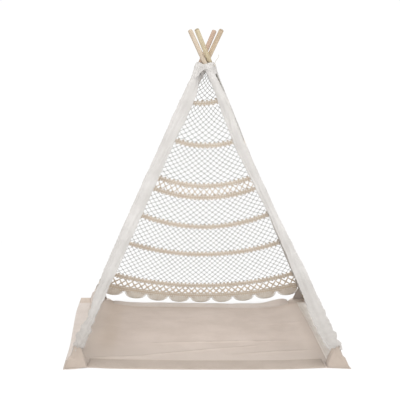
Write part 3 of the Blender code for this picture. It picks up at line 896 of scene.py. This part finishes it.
# %% From a drawing to crochet
def crochet_tree():
    """Lines become threads as thick as "thick"; points with a "size" become stitches or knots."""
    tree = bpy.data.node_groups.new("crochet", "GeometryNodeTree")
    face = tree.interface
    face.new_socket("Drawing", in_out="INPUT", socket_type="NodeSocketGeometry")
    for label, kind, value in (
        ("Thread Sides", "NodeSocketInt", 5),
        ("Stitch Detail", "NodeSocketInt", 1),
        ("Unevenness", "NodeSocketFloat", 0.12),
        ("Seed", "NodeSocketInt", 7),
    ):
        face.new_socket(label, in_out="INPUT", socket_type=kind).default_value = value
    face.new_socket("Thread", in_out="INPUT", socket_type="NodeSocketMaterial")
    face.new_socket("Crochet", in_out="OUTPUT", socket_type="NodeSocketGeometry")
    given = tree.nodes.new("NodeGroupInput").outputs

    def node(kind, settings, sockets):
        return add_node(tree, kind, settings, sockets).outputs

    def kept(name, kind):
        return node("GeometryNodeInputNamedAttribute", {"data_type": kind}, {"Name": name})[0]

    lines = node("GeometryNodeMeshToCurve", {}, {"Mesh": given["Drawing"]})[0]
    sockets = {"Resolution": given["Thread Sides"], "Radius": 0.5}
    ring = node("GeometryNodeCurvePrimitiveCircle", {}, sockets)[0]
    sockets = {"Curve": lines, "Profile Curve": ring, "Scale": kept("thick", "FLOAT"), "Fill Caps": True}
    threads = node("GeometryNodeCurveToMesh", {}, sockets)[0]
    sockets = {"Radius": 0.5, "Subdivisions": given["Stitch Detail"]}
    ball = node("GeometryNodeMeshIcoSphere", {}, sockets)[0]
    size = kept("size", "FLOAT_VECTOR")
    long = node("ShaderNodeVectorMath", {"operation": "LENGTH"}, {0: size})["Value"]
    larger = {"data_type": "FLOAT", "operation": "GREATER_THAN"}
    marked = node("FunctionNodeCompare", larger, {0: long, 1: 0.0001})[0]
    axes = {"primary_axis": "Z", "secondary_axis": "X"}
    turned = {0: kept("outward", "FLOAT_VECTOR"), 1: kept("along", "FLOAT_VECTOR")}
    facing = node("FunctionNodeAxesToRotation", axes, turned)[0]
    small = node("ShaderNodeMath", {"operation": "SUBTRACT"}, {0: 1.0, 1: given["Unevenness"]})[0]
    large = node("ShaderNodeMath", {"operation": "ADD"}, {0: 1.0, 1: given["Unevenness"]})[0]
    sockets = {2: small, 3: large, "Seed": given["Seed"]}
    uneven = node("FunctionNodeRandomValue", {"data_type": "FLOAT"}, sockets)[1]
    scaled = node("ShaderNodeVectorMath", {"operation": "SCALE"}, {0: size, "Scale": uneven})[0]
    sockets = {"Points": given["Drawing"], "Selection": marked, "Instance": ball}
    sockets.update({"Rotation": facing, "Scale": scaled})
    stitches = node("GeometryNodeInstanceOnPoints", {}, sockets)[0]
    stitches = node("GeometryNodeRealizeInstances", {}, {"Geometry": stitches})[0]
    join = tree.nodes.new("GeometryNodeJoinGeometry")
    tree.links.new(stitches, join.inputs[0])
    tree.links.new(threads, join.inputs[0])
    smooth = node("GeometryNodeSetShadeSmooth", {}, {"Geometry": join.outputs[0]})[0]
    painted = node("GeometryNodeSetMaterial", {}, {"Geometry": smooth, "Material": given["Thread"]})[0]
    tree.links.new(painted, tree.nodes.new("NodeGroupOutput").inputs[0])
    return tree


CROCHET = crochet_tree()
print("crochet tree:", len(CROCHET.nodes), "nodes")


# %% A drawing of points and lines
class Drawing:
    """Points with a thread thickness, a stitch size and the way they face, and lines."""

    def __init__(self):
        self.spots, self.lines = [], []
        self.kept = {"thick": [], "size": [], "along": [], "outward": []}

    def point(self, spot, outward, along, thick=0.0, size=(0, 0, 0)):
        self.spots.append(spot)
        for name, value in zip(self.kept, (thick, size, along, outward)):
            self.kept[name].append(value)
        return len(self.spots) - 1

    def line(self, *stops):
        self.lines += list(zip(stops[:-1], stops[1:]))

    def made(self, name, material, sides=5):
        """Runs the crochet tree on the drawing and returns the plain mesh."""
        mesh = bpy.data.meshes.new(name)
        mesh.from_pydata([tuple(map(float, s)) for s in self.spots], self.lines, [])
        for label, values in self.kept.items():
            kind, field = ("FLOAT", "value") if label == "thick" else ("FLOAT_VECTOR", "vector")
            layer = mesh.attributes.new(label, kind, "POINT")
            layer.data.foreach_set(field, np.asarray(values, float).ravel())
        obj = bpy.data.objects.new(name, mesh)
        bpy.context.scene.collection.objects.link(obj)
        step = obj.modifiers.new("crochet", "NODES")
        step.node_group = CROCHET
        inputs = [item for item in CROCHET.interface.items_tree if item.in_out == "INPUT"]
        names = {item.name: item.identifier for item in inputs}
        chosen = {"Thread Sides": sides, "Stitch Detail": 1, "Seed": 7, "Thread": material}
        for label, value in chosen.items():
            step[names[label]] = value
        shape = obj.evaluated_get(bpy.context.evaluated_depsgraph_get())
        plain = bpy.data.meshes.new_from_object(shape)
        bpy.data.objects.remove(obj)
        return plain


# %% [markdown]
# ## Zones of net
# The diamonds keep about the same size all the way down, so each zone has more columns than
# the one above it. The threads bow a little between knots, as slack crochet does. Two open
# rows of thick thread lie between bands that stand close together.

# %% Net zones
# Top reach, bottom reach, columns and rows of diamonds, from the crown to the hem
NET_ZONES = [
    (0.066, 0.219, 5, 6), (0.249, 0.447, 9, 7), (0.476, 0.671, 14, 7),
    (0.767, 0.909, 20, 5), (0.937, 1.080, 26, 5), (1.109, 1.279, 31, 6),
]
OPEN_ROWS = [(0.6995, 0.7385, 18, 1), (1.3110, 1.3450, 30, 1)]
THREAD = 0.0022
KNOT = 0.0028
WEB_THREADS = (0.0054, 0.0084)
WEB_KNOT = 0.0090
NET_UNEVENNESS = 0.0022
THREAD_BOW = 0.0011


def draw_net(drawing, place, zone, thick=THREAD, knot=KNOT):
    """One zone of diamonds: a knot on every other point of a grid and bowed threads between."""
    top, bottom, columns, rows = zone
    spots = {}
    for r in range(2 * rows + 1):
        for c in range(2 * columns + 1):
            if (c + r) % 2:
                continue
            reach = top + (bottom - top) * r / (2 * rows)
            reach += NET_UNEVENNESS * wobble(c * 0.9, r * 0.9, top * 40)
            share = (c + 0.16 * wobble(c * 1.3, r * 1.1, top * 70)) / (2 * columns)
            share = min(max(share, 0.0), 1.0)
            spot, outward, along = place(reach, share)
            size = (knot, knot, knot * 0.8)
            spots[c, r] = drawing.point(spot, outward, along, thick, size)
    for (c, r), here in spots.items():
        for step in (-1, 1):
            there = spots.get((c + step, r + 1))
            if there is None:
                continue
            first, last = drawing.spots[here], drawing.spots[there]
            outward, along = drawing.kept["outward"][here], drawing.kept["along"][here]
            droop = np.array([0, 0, -THREAD_BOW - 0.0007 * wobble(c * 2.1, r * 2.3, step)])
            middle = drawing.point((first + last) / 2 + droop, outward, along, thick * 0.9)
            drawing.line(here, middle, there)


# %% [markdown]
# ## Crocheted bands
# A band is worked tightly, so it is a closed strip of its own, 21 mm tall, with two rows of
# stitches in a paler copy of the yarn on it, a painted highlight, and small points in a darker copy
# along both edges, painted shade, where the net hooks in.

# %% Bands
BAND_REACHES = [0.234, 0.4615, 0.686, 0.752, 0.923, 1.0945, 1.2945]
BAND_HALF = 0.0105
BAND_STEPS = 80
BAND_STITCH_PITCH = 0.0118
BAND_STITCH = (0.0092, 0.0064, 0.0048)
BAND_STITCH_SHARES = (-0.56, 0.56)
EDGE_PITCH = 0.0205
# Place across the band, as a share of its half width, and size of the points along each edge
EDGE_POINTS = ((-1.42, (0.0115, 0.0092, 0.0042)), (1.25, (0.0100, 0.0064, 0.0036)))
TOP_BAND_TILT = 0.018
STITCH_LIFT = 0.0015
# Place across the band, as a share of its half width, and half its thickness there
BAND_RIDGES = [
    (-1.0, 0.0007), (-0.62, 0.0013), (-0.31, 0.0009), (0.0, 0.0013), (0.31, 0.0009), (0.62, 0.0013),
    (1.0, 0.0007),
]


def slab(outer, inner):
    """Points and faces of a closed slab between two grids of the same shape."""
    outer, inner = np.asarray(outer, float), np.asarray(inner, float)
    rows, columns = outer.shape[:2]
    count = rows * columns
    points = np.vstack([outer.reshape(-1, 3), inner.reshape(-1, 3)])
    faces = []
    for a, b, c, d in grid_faces(rows, columns):
        faces += [(a, b, c, d), (count + d, count + c, count + b, count + a)]
    rim = list(range(columns)) + [i * columns + columns - 1 for i in range(1, rows)]
    rim += [(rows - 1) * columns + j for j in range(columns - 2, -1, -1)]
    rim += [i * columns for i in range(rows - 2, 0, -1)]
    for a, b in zip(rim, rim[1:] + rim[:1]):
        faces.append((b, a, count + a, count + b))
    return points, faces


def lace_strip(place, centre, half, tilt=0.0):
    """A band's closed strip, thicker along its ridges and a little wavy."""
    outer, inner = [], []
    for t, height in BAND_RIDGES:
        top, low = [], []
        for j in range(BAND_STEPS + 1):
            share = j / BAND_STEPS
            wave = 0.0009 * wobble(j * 0.35, centre * 30, t)
            spot, outward, _ = place(centre + half * t + tilt * (share - 0.5) + wave, share)
            top.append(spot + outward * height)
            low.append(spot - outward * height)
        outer.append(top)
        inner.append(low)
    return slab(outer, inner)


def draw_stitches(drawing, place, reach, pitch, size, tilt, shift, lift):
    """A row of stitches along the lace at one reach, on both of its faces if they are lifted."""
    first, last = place(reach, 0)[0], place(reach, 1)[0]
    count = max(int(np.linalg.norm(last - first) / pitch), 2)
    for j in range(count):
        share = (j + 0.5 + shift) / count
        spot, outward, along = place(reach + tilt * (share - 0.5), min(share, 1.0))
        drawing.point(spot + outward * lift, outward, along, 0.0, size)
        if lift:
            drawing.point(spot - outward * lift, outward, along, 0.0, size)


# %% [markdown]
# ## The scalloped hem
# Below the last band runs a row of open zigzag, a narrow chain, and nine fans. Each fan is a
# thin closed web with thirteen ribs and a border of small loops.

# %% Hem
HEM_BAND = 1.3570
HEM_BAND_HALF = 0.0125
HEM_REACH = 1.3700
FAN_DEPTH = 0.032
FAN_TUCK = 0.004
FAN_HALF_THICK = 0.0006
FAN_RIB = 0.0026
FAN_LOOP = (0.0062, 0.0062, 0.0040)
SCALLOPS = 9
FAN_RIBS = 13


def fan_arc(spread):
    """The fan's depth at a place across it, as a share: a flattened half round."""
    return np.sqrt(max(1 - (2 * spread - 1) ** 2, 0.0)) ** 0.8


def fan_web(place, number):
    """One scallop's web: a closed fan between the chain and the border."""
    outer, inner = [], []
    for depth in np.linspace(0, 1, 6):
        top, low = [], []
        for k in range(FAN_RIBS * 2 + 1):
            spread = k / (FAN_RIBS * 2)
            share = (number + 0.5 + (spread - 0.5) * (0.80 + 0.18 * (1 - depth))) / SCALLOPS
            spot, outward, _ = place(HEM_REACH - FAN_TUCK + FAN_DEPTH * fan_arc(spread) * depth, share)
            top.append(spot + outward * FAN_HALF_THICK)
            low.append(spot - outward * FAN_HALF_THICK)
        outer.append(top)
        inner.append(low)
    return slab(outer, inner)


def draw_fan(ribs, edging, place, number):
    """Ribs that fan out from the chain, with a loop at the end of each."""
    border = []
    for k in range(FAN_RIBS):
        spread = (k + 0.5) / FAN_RIBS
        arc = fan_arc(spread)
        root_share = (number + 0.5 + (spread - 0.5) * 0.34) / SCALLOPS
        tip_share = (number + 0.5 + (spread - 0.5) * 0.90) / SCALLOPS
        stops = []
        for depth in (0.0, 0.5, 1.0):
            share = root_share + (tip_share - root_share) * depth
            spot, outward, along = place(HEM_REACH - FAN_TUCK + (FAN_DEPTH - 0.001) * arc * depth, share)
            stops.append(ribs.point(spot, outward, along, FAN_RIB * (1 + depth)))
        ribs.line(*stops)
        spot, outward, along = place(HEM_REACH - FAN_TUCK + (FAN_DEPTH + 0.002) * arc, tip_share)
        border.append(edging.point(spot, outward, along, FAN_RIB, FAN_LOOP))
    start, end = (
        edging.point(*place(HEM_REACH, (number + share) / SCALLOPS), FAN_RIB) for share in (0.02, 0.98)
    )
    edging.line(start, *border, end)


# %% [markdown]
# ## Putting a wall together
# The drawings and the closed strips of one wall become one mesh with four materials, all copies of
# one cream yarn: darker ones on the net's thread and the edging for painted shade, the plain tone
# on the webs and strips, and a pale one on the stitches and ribs for a painted highlight.


# %% Walls
def join_meshes(name, parts, materials):
    """Several meshes as one, each with its own place in the list of materials."""
    work = bmesh.new()
    for mesh, slot in parts:
        before = len(work.faces)
        work.from_mesh(mesh)
        work.faces.ensure_lookup_table()
        for face in work.faces[before:]:
            face.material_index = slot
            face.smooth = True
        bpy.data.meshes.remove(mesh)
    mesh = bpy.data.meshes.new(name)
    work.to_mesh(mesh)
    work.free()
    for material in materials:
        mesh.materials.append(material)
    joined = bpy.data.objects.new(name, mesh)
    bpy.context.scene.collection.objects.link(joined)
    return joined


def plain_mesh(points, faces):
    """A strip's mesh alone, for a wall to take up."""
    strip = make_piece("strip", points, faces, LACE_PAINTED_HIGHLIGHT)
    mesh = strip.data
    bpy.data.objects.remove(strip)
    return mesh


def draw_band(parts, stitches, place, centre, half, tilt=0.0):
    """A band's closed strip, with its rows of stitches in the paler copy of the yarn, a painted highlight."""
    parts.append((plain_mesh(*lace_strip(place, centre, half, tilt)), 3))
    for t in BAND_STITCH_SHARES:
        row = centre + half * t
        draw_stitches(stitches, place, row, BAND_STITCH_PITCH, BAND_STITCH, tilt, t, STITCH_LIFT)


def make_wall(wall):
    place = wall_place(wall)
    net, stitches, edging, web = Drawing(), Drawing(), Drawing(), Drawing()
    for zone in NET_ZONES:
        draw_net(net, place, zone)
    for zone, thick in zip(OPEN_ROWS, WEB_THREADS):
        draw_net(web, place, zone, thick, WEB_KNOT)
    parts = []
    for number, centre in enumerate(BAND_REACHES):
        tilt = TOP_BAND_TILT if number == 0 and wall == "back" else 0.0
        draw_band(parts, stitches, place, centre, BAND_HALF, tilt)
        for t, size in EDGE_POINTS:
            draw_stitches(edging, place, centre + BAND_HALF * t, EDGE_PITCH, size, tilt, 0.0, 0.0)
    draw_band(parts, stitches, place, HEM_BAND, HEM_BAND_HALF)
    for number in range(SCALLOPS):
        parts.append((plain_mesh(*fan_web(place, number)), 3))
        draw_fan(stitches, edging, place, number)
    # Painted shade on the net's thread and the edging, a painted highlight on the stitches and ribs.
    parts.append((net.made("net", LACE_THREAD_PAINTED_SHADE, sides=4), 0))
    parts.append((edging.made("edging", LACE_EDGE_PAINTED_SHADE), 1))
    parts.append((web.made("web", LACE_WEB), 3))
    parts.append((stitches.made("stitches", LACE_PAINTED_HIGHLIGHT), 2))
    lace = join_meshes("lace_" + wall, parts, LACES)
    dress(lace, "lace_wall_" + wall, "wall_" + wall)
    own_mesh(lace)
    print(lace.name, "triangles", sum(len(face.vertices) - 2 for face in lace.data.polygons))


for wall in WALLS:
    make_wall(wall)

# %% [markdown]
# ## The gathered collar
# Under the crossing the cover's top is pulled together by the cord. One soft layer of cloth
# lies over the cord, with a turned-in hem at its top and fine gathers below. Its rim dips at the
# front, and its lower edge hangs on the poles and is higher between them, most over the doorway.

# %% Collar sizes
COLLAR_TOP = 1.268
COLLAR_HEM_DEPTH = 0.011
COLLAR_BOTTOM = 1.200
COLLAR_POINTS = 400
COLLAR_CLOTH = 0.0008
COLLAR_FOLDS = 30
FRONT_PARTING = 0.036
BACK_PARTING = 0.020
FRONT_DIP = 0.009
FRONT_DIP_TURN = 1.45 * pi
# Height, distance from the poles and depth of the gathers of the collar's cloth
COLLAR_PROFILE = np.array([
    (1.268, 0.0062, 0.0012), (1.263, 0.0082, 0.0010), (1.255, 0.0088, 0.0008), (1.247, 0.0084, 0.0010),
    (1.238, 0.0052, 0.0020), (1.222, 0.0034, 0.0026), (1.200, 0.0028, 0.0028), (1.150, 0.0026, 0.0030),
])[::-1]


# %% Collar
def collar_rim(angle):
    """How far the rim stands above its plain height: a soft ruffle and the dip in front."""
    ruffle = 0.0022 * wobble(angle * 3.5, 7.0) + 0.0013 * sin(angle * 19 + 2 * wobble(angle * 4, 1.0))
    return ruffle - FRONT_DIP * np.exp(-(((angle - FRONT_DIP_TURN) / 0.5) ** 2))


def collar_edge(angle):
    """Height of the lower edge, lowest on the poles."""
    between = ((angle - pi / 4) % (pi / 2)) / (pi / 2)
    parted = min(max((1 - abs(2 * between - 1) - 0.12) / 0.6, 0.0), 1.0) ** 0.7
    over_doorway = -3 * pi / 4 < atan2(sin(angle), cos(angle)) < -pi / 4
    parting = FRONT_PARTING if over_doorway else BACK_PARTING
    return COLLAR_BOTTOM + parting * parted + 0.005 * wobble(angle * 3, 2.0)


def collar_gather(angle, height):
    """The gathers' relief, from -1 to 1: folds that wander a little on their way down."""
    fold = sin(angle * COLLAR_FOLDS + 3.0 * wobble(angle * 2, 4.0) + 6 * wobble(height * 9, angle * 1.5))
    return fold * (0.6 + 0.4 * wobble(angle * 5, height * 14, 3.0))


def make_collar():
    edge = [(COLLAR_TOP - COLLAR_HEM_DEPTH * t, 0.0030, 0.0005) for t in (1.0, 0.7, 0.4, 0.1)]
    turned = np.linspace(0.5, pi - 0.5, 4)
    edge += [(COLLAR_TOP + 0.0016 * sin(a), 0.0046 - 0.0016 * cos(a), 0.0010) for a in turned]
    fall = np.linspace(0.03, 1, 34)
    levels = len(edge) + len(fall)
    points, places = [], []
    outlines = {}
    for i in range(levels):
        for j in range(COLLAR_POINTS):
            angle = 2 * pi * j / COLLAR_POINTS
            rim = collar_rim(angle)
            if i < len(edge):
                height, away, ripple = edge[i]
                height += rim
            else:
                height = COLLAR_TOP + rim + (collar_edge(angle) - COLLAR_TOP - rim) * fall[i - len(edge)]
                away, ripple = [np.interp(height, COLLAR_PROFILE[:, 0], COLLAR_PROFILE[:, n]) for n in (1, 2)]
            key = round(height, 3)
            if key not in outlines:
                outline = ring_round_poles(key, 0.0, 8, 12)
                turns = np.unwrap(np.arctan2(outline[:, 1], outline[:, 0]))
                turns = np.concatenate([turns, [turns[0] + 2 * pi]])
                outlines[key] = (turns, np.vstack([outline, outline[:1]]))
            turns, outline = outlines[key]
            lap = turns[0] + (angle - turns[0]) % (2 * pi)
            spot = np.array([np.interp(lap, turns, outline[:, axis]) for axis in range(3)])
            out = np.array([cos(angle), sin(angle), 0.0])
            spot = spot + out * (away + ripple * collar_gather(angle, height))
            spot[2] = height
            points.append(spot)
            places.append((angle * 0.11, i * 0.004, 0.0))
    collar = make_piece("gathered_collar", points, ring_faces(levels, COLLAR_POINTS), COTTON, places)
    shell = collar.modifiers.new("cloth", "SOLIDIFY")
    shell.thickness = COLLAR_CLOTH
    shell.offset = 0
    dress(collar, "top_collar", "crown")


make_collar()

# %% [markdown]
# ## The mat
# One square of canvas lies on the floor. Its corners are pulled out and its back edge bows
# forward, so the outline is a curve through measured points, and the sheet is stretched
# between its four edges. Low creases cross it where it was folded.

# %% The mat's outline
HEM_WIDTHS = {"front": 0.115, "right": 0.075, "back": 0.055, "left": 0.065}
MAT_EDGE_SHARES = {
    "front": [
        (-1.000, -1.000), (-0.920, -0.990), (-0.835, -0.960), (-0.640, -0.983), (-0.300, -1.000),
        (0.000, -1.008), (0.300, -1.008), (0.560, -1.000), (0.825, -0.975),
    ],
    "right": [(1.003, -0.998), (0.995, -0.910), (0.985, -0.825), (0.990, 0.000), (0.985, 0.825)],
    "back": [
        (1.000, 1.000), (0.845, 1.000), (0.780, 0.880), (0.660, 0.775), (0.430, 0.733),
        (0.000, 0.757), (-0.360, 0.775), (-0.600, 0.795), (-0.770, 0.880),
    ],
    "left": [
        (-0.845, 0.990), (-1.078, 1.004), (-1.074, 0.800), (-1.068, 0.500), (-1.040, 0.000),
        (-1.013, -0.467), (-1.005, -0.825),
    ],
}
EDGES = {side: np.array(shares) * MAT_SIDE / 2 for side, shares in MAT_EDGE_SHARES.items()}
BORDER_POINTS = 181
BORDERS = {
    "front": smooth_path([*EDGES["front"], EDGES["right"][0]], BORDER_POINTS),
    "right": smooth_path([*EDGES["right"], EDGES["back"][0]], BORDER_POINTS),
    "back": smooth_path([*EDGES["back"], *EDGES["left"][:2]], BORDER_POINTS),
    "left": smooth_path([*EDGES["left"][1:], EDGES["front"][0]], BORDER_POINTS),
}
print("mat border", {side: round(path_length(border), 3) for side, border in BORDERS.items()})


# %% The sheet
def crease(x, y, start, end, width, depth):
    """A low ridge along a line on the floor, faded out at both ends."""
    a, b = np.array(start), np.array(end)
    t = float(np.dot(np.array([x, y]) - a, b - a) / np.dot(b - a, b - a))
    if not 0 < t < 1:
        return 0.0
    away = abs((x - a[0]) * (b - a)[1] - (y - a[1]) * (b - a)[0]) / np.linalg.norm(b - a)
    return depth * sin(pi * t) ** 0.7 * np.exp(-((away / width) ** 2))


MAT_CREASES = [
    *[(start, end, 0.012, 0.0035) for start, end, _ in CREASE_LINES],
    ((-0.52, -0.10), (-0.38, 0.34), 0.016, 0.0025),
    ((0.20, 0.05), (0.55, 0.12), 0.014, 0.0025),
    ((-0.20, 0.10), (0.15, 0.30), 0.016, 0.0020),
]
CALM_EDGE = 0.035
CALM_RUN = 0.08
TOP_SHARE = 0.93
UNDER_SHARE = 0.6


def mat_height(x, y, edge):
    """How far the canvas stands off the floor, with edge the distance to its border."""
    calm = min(max((edge - CALM_EDGE) / CALM_RUN, 0.0), 1.0)
    relief = sum(crease(x, y, *line) for line in MAT_CREASES)
    relief += 0.0011 * (1 + wobble(x * 7, y * 9)) + 0.0006 * (1 + wobble(x * 25, y * 8, 4))
    return relief * calm


def make_mat():
    """The sheet, with every point blended from the four borders."""
    steps = len(BORDERS["front"]) - 1
    low, high = BORDERS["front"], BORDERS["back"][::-1]
    west, east = BORDERS["left"][::-1], BORDERS["right"]
    top, bottom, places = [], [], []
    for i in range(steps + 1):
        v = i / steps
        row, under = [], []
        for j in range(steps + 1):
            u = j / steps
            spot = low[j] * (1 - v) + high[j] * v + west[i] * (1 - u) + east[i] * u
            spot = spot - low[0] * (1 - u) * (1 - v) - low[-1] * u * (1 - v)
            spot = spot - high[0] * (1 - u) * v - high[-1] * u * v
            edge = min(u, 1 - u, v, 1 - v) * MAT_SIDE
            rise = mat_height(spot[0], spot[1], edge)
            row.append((*spot, MAT_THICK * TOP_SHARE + rise))
            under.append((*spot, rise * UNDER_SHARE))
            places.append((u * MAT_SIDE, v * MAT_SIDE, 0.0))
        top.append(row)
        bottom.append(under)
    sheet = make_piece("canvas_mat", *slab(top, bottom), CANVAS, places * 2)
    dress(sheet, "floor_mat", "mat")
    return sheet


mat = make_mat()
print("mat:", len(mat.data.polygons), "faces")

# %% [markdown]
# ## Hems of the mat
# The front edge has a deep turned hem that looks darker. The right one is a brighter copy of the
# lip cloth, painted light against the front right sleeve's shadow, and the back edge rolls up into
# a soft pale lip. Rows of stitches, again from the crochet tree, hold the hems down: two rows at the
# front and one on each other side.

# %% Hems
INWARD = {"front": (0, 1), "right": (-1, 0), "back": (0, -1), "left": (1, 0)}
HEM_FINISHES = {"front": MAT_HEM, "right": LIP_PAINTED_LIGHT, "back": LIP, "left": LIP}
HEM_POINTS = 161
HEM_STEPS = 16
HEM_ROUNDED_SHARE = 0.06
HEM_STAND = 0.0004
HEM_HALF_THICK = 0.0013
LIP_RISE = 0.0125
LIP_BULGE = 0.026
SEAM_PITCH = 0.0065
SEAM_STITCH = (0.0046, 0.0012, 0.0009)


def hem_swell(side, spot, gone, t):
    """How far the hem's cloth stands up: slightly uneven, and at the back a rolled lip."""
    swell = 0.0006 * (1 + wobble(spot[0] * 22, spot[1] * 22, 3.0))
    if side == "back":
        bulge = LIP_BULGE * np.exp(-(((gone - 0.07) / 0.10) ** 2))
        wave = LIP_RISE + 0.0050 * wobble(gone * 9, 1.0) + bulge
        swell += wave * sin(pi * min(t * 1.15, 1.0)) * sin(pi * gone) ** 0.22
    return swell


def sew_hem(stitches, level, count, slide):
    """A row of stitches along one line of points on the hem, moved sideways by slide."""
    level = np.array(level)
    last = len(level) - 1
    for k in range(count):
        at = k / count * last
        j = int(at)
        spot = level[j] * (1 - at + j) + level[min(j + 1, last)] * (at - j)
        spot[:2] += slide
        ahead = level[min(j + 1, last)] - level[max(j - 1, 0)]
        stitches.point(spot, (0, 0, 1), unit(ahead), 0.0, SEAM_STITCH)


def make_hem(side):
    outer = smooth_path(EDGES[side][2:], HEM_POINTS)
    inward = np.array(INWARD[side], float)
    width = HEM_WIDTHS[side]
    base = MAT_THICK + GAP
    top, bottom, places, stitches = [], [], [], Drawing()
    for i in range(HEM_STEPS + 1):
        t = i / HEM_STEPS
        near = min(min(t, 1 - t) / HEM_ROUNDED_SHARE, 1.0)
        rounded = np.sqrt(1 - (1 - near) ** 2)
        row, under = [], []
        for j, spot in enumerate(outer):
            gone = j / (len(outer) - 1)
            here = spot + inward * width * t
            swell = hem_swell(side, here, gone, t)
            row.append((*here, base + HEM_STAND + (HEM_HALF_THICK + swell) * rounded))
            under.append((*here, base + swell * 0.5 * rounded))
            places.append((gone * MAT_SIDE, t * width, 0.0))
        top.append(row)
        bottom.append(under)
    strip = make_piece("hem_strip", *slab(top, bottom), HEM_FINISHES[side], places * 2)
    for t in (0.93, 0.97) if side == "front" else (0.9,):
        line = int(t * HEM_STEPS)
        slide = inward * width * (t - line / HEM_STEPS)
        sew_hem(stitches, top[line], int(path_length(outer) / SEAM_PITCH), slide)
    seam = stitches.made("seam", STITCH)
    strip_mesh = strip.data
    bpy.data.objects.remove(strip)
    parts = [(strip_mesh, 0), (seam, 1)]
    hem = join_meshes("canvas_hem_" + side, parts, [HEM_FINISHES[side], STITCH])
    dress(hem, "hem_" + side, "mat")
    return hem


hems = [make_hem(side) for side in HEM_WIDTHS]
print("hems:", [hem.name for hem in hems])

# %% [markdown]
# ## Corner pockets
# A pocket is a folded piece of the same canvas. Its foot line runs along both edges of the mat
# to the corner, and its mouth wraps the pole. The front pair is pulled into soft ruffles at the
# mouth by the pole. The back pair is shallower and plain.

# %% Pockets
POCKET_LEG = 0.095
POCKET_DEPTH = 0.072
POCKET_TOP_REACH = 0.080
POCKET_FIT = 0.0036
POCKET_TIP_INSET = 0.006
POCKET_SIDE_INSET = 0.016
POCKET_TURN = 0.55
BACK_POCKET_DEPTH = 0.034
BACK_POCKET_TURN = 0.42
POCKET_COLUMNS = 90
POCKET_ROWS = 28
POCKET_CLOTH = 0.0016
RUFFLE_FLARE = 0.0022
RUFFLE_RISE = 0.004


def make_pocket(corner, seed):
    crossing, down, foot = pole_line(corner)
    sign = np.array([*CORNERS[corner], 0.0])
    sideways = unit(np.cross((0, 0, 1), sign))
    out = np.cross(sideways, down)
    out = out if np.dot(out, sign) > 0 else -out
    half = MAT_SIDE / 2
    tip, edge = half - POCKET_TIP_INSET, half - POCKET_SIDE_INSET
    front = "front" in corner
    depth, wrap = (POCKET_DEPTH, POCKET_TURN) if front else (BACK_POCKET_DEPTH, BACK_POCKET_TURN)
    floor_line = [(half - POCKET_LEG, half - depth), (half - POCKET_LEG, edge), (tip, tip)]
    floor_line += [(edge, half - POCKET_LEG), (half - depth, half - POCKET_LEG)]
    base = [np.array([x, y, MAT_THICK + GAP]) * (sign + (0, 0, 1)) for x, y in floor_line]
    gone = np.array([0.0, 0.12, 0.5, 0.88, 1.0])
    turns = np.array([-1, -0.55, 0.0, 0.55, 1]) * pi * wrap
    mouth_centre = foot - down * POCKET_TOP_REACH
    sample = mouth_centre + out * cos(turns[0]) + sideways * sin(turns[0])
    if np.linalg.norm(sample - base[0]) > np.linalg.norm(sample - base[-1]):
        turns = -turns
    points, places = [], []
    for i in range(POCKET_ROWS + 1):
        v = i / POCKET_ROWS
        for j in range(POCKET_COLUMNS + 1):
            u = j / POCKET_COLUMNS
            foot_spot = np.array([np.interp(u, gone, [b[axis] for b in base]) for axis in range(3)])
            turn = np.interp(u, gone, turns)
            flare = RUFFLE_FLARE * (1 + sin(u * 26 + seed)) * v**6 if front else 0.0
            radius = SLEEVE_RADIUS + POCKET_FIT + flare
            mouth_spot = mouth_centre + radius * (out * cos(turn) + sideways * sin(turn))
            mouth_spot = mouth_spot + down * (-RUFFLE_RISE * sin(u * 21 + seed) if front else 0.0)
            spot = foot_spot * (1 - v) + mouth_spot * v
            away = unit(np.array([*(spot - foot)[:2], 0.0]) + 1e-6)
            swell = 0.0050 * sin(pi * v) * (1 - abs(2 * u - 1) * 0.5)
            swell += 0.0018 * sin(pi * v) * wobble(u * 9 + seed, v * 4)
            points.append(spot + away * swell)
            places.append((u * 0.2, v * 0.1, 0.0))
    faces = grid_faces(POCKET_ROWS + 1, POCKET_COLUMNS + 1)
    pocket = make_piece("canvas_pocket_" + corner, points, faces, MAT_HEM if front else LIP, places)
    middle = pocket.data.polygons[len(faces) // 2 + POCKET_COLUMNS // 2]
    if np.dot(np.array(middle.normal), np.array(middle.center) - foot) <= 0:
        pocket.data.flip_normals()
    shell = pocket.modifiers.new("cloth", "SOLIDIFY")
    shell.thickness = POCKET_CLOTH
    shell.offset = 1
    dress(pocket, "pocket_" + corner, "mat")


for seed, corner in enumerate(CORNERS):
    make_pocket(corner, seed * 1.9)
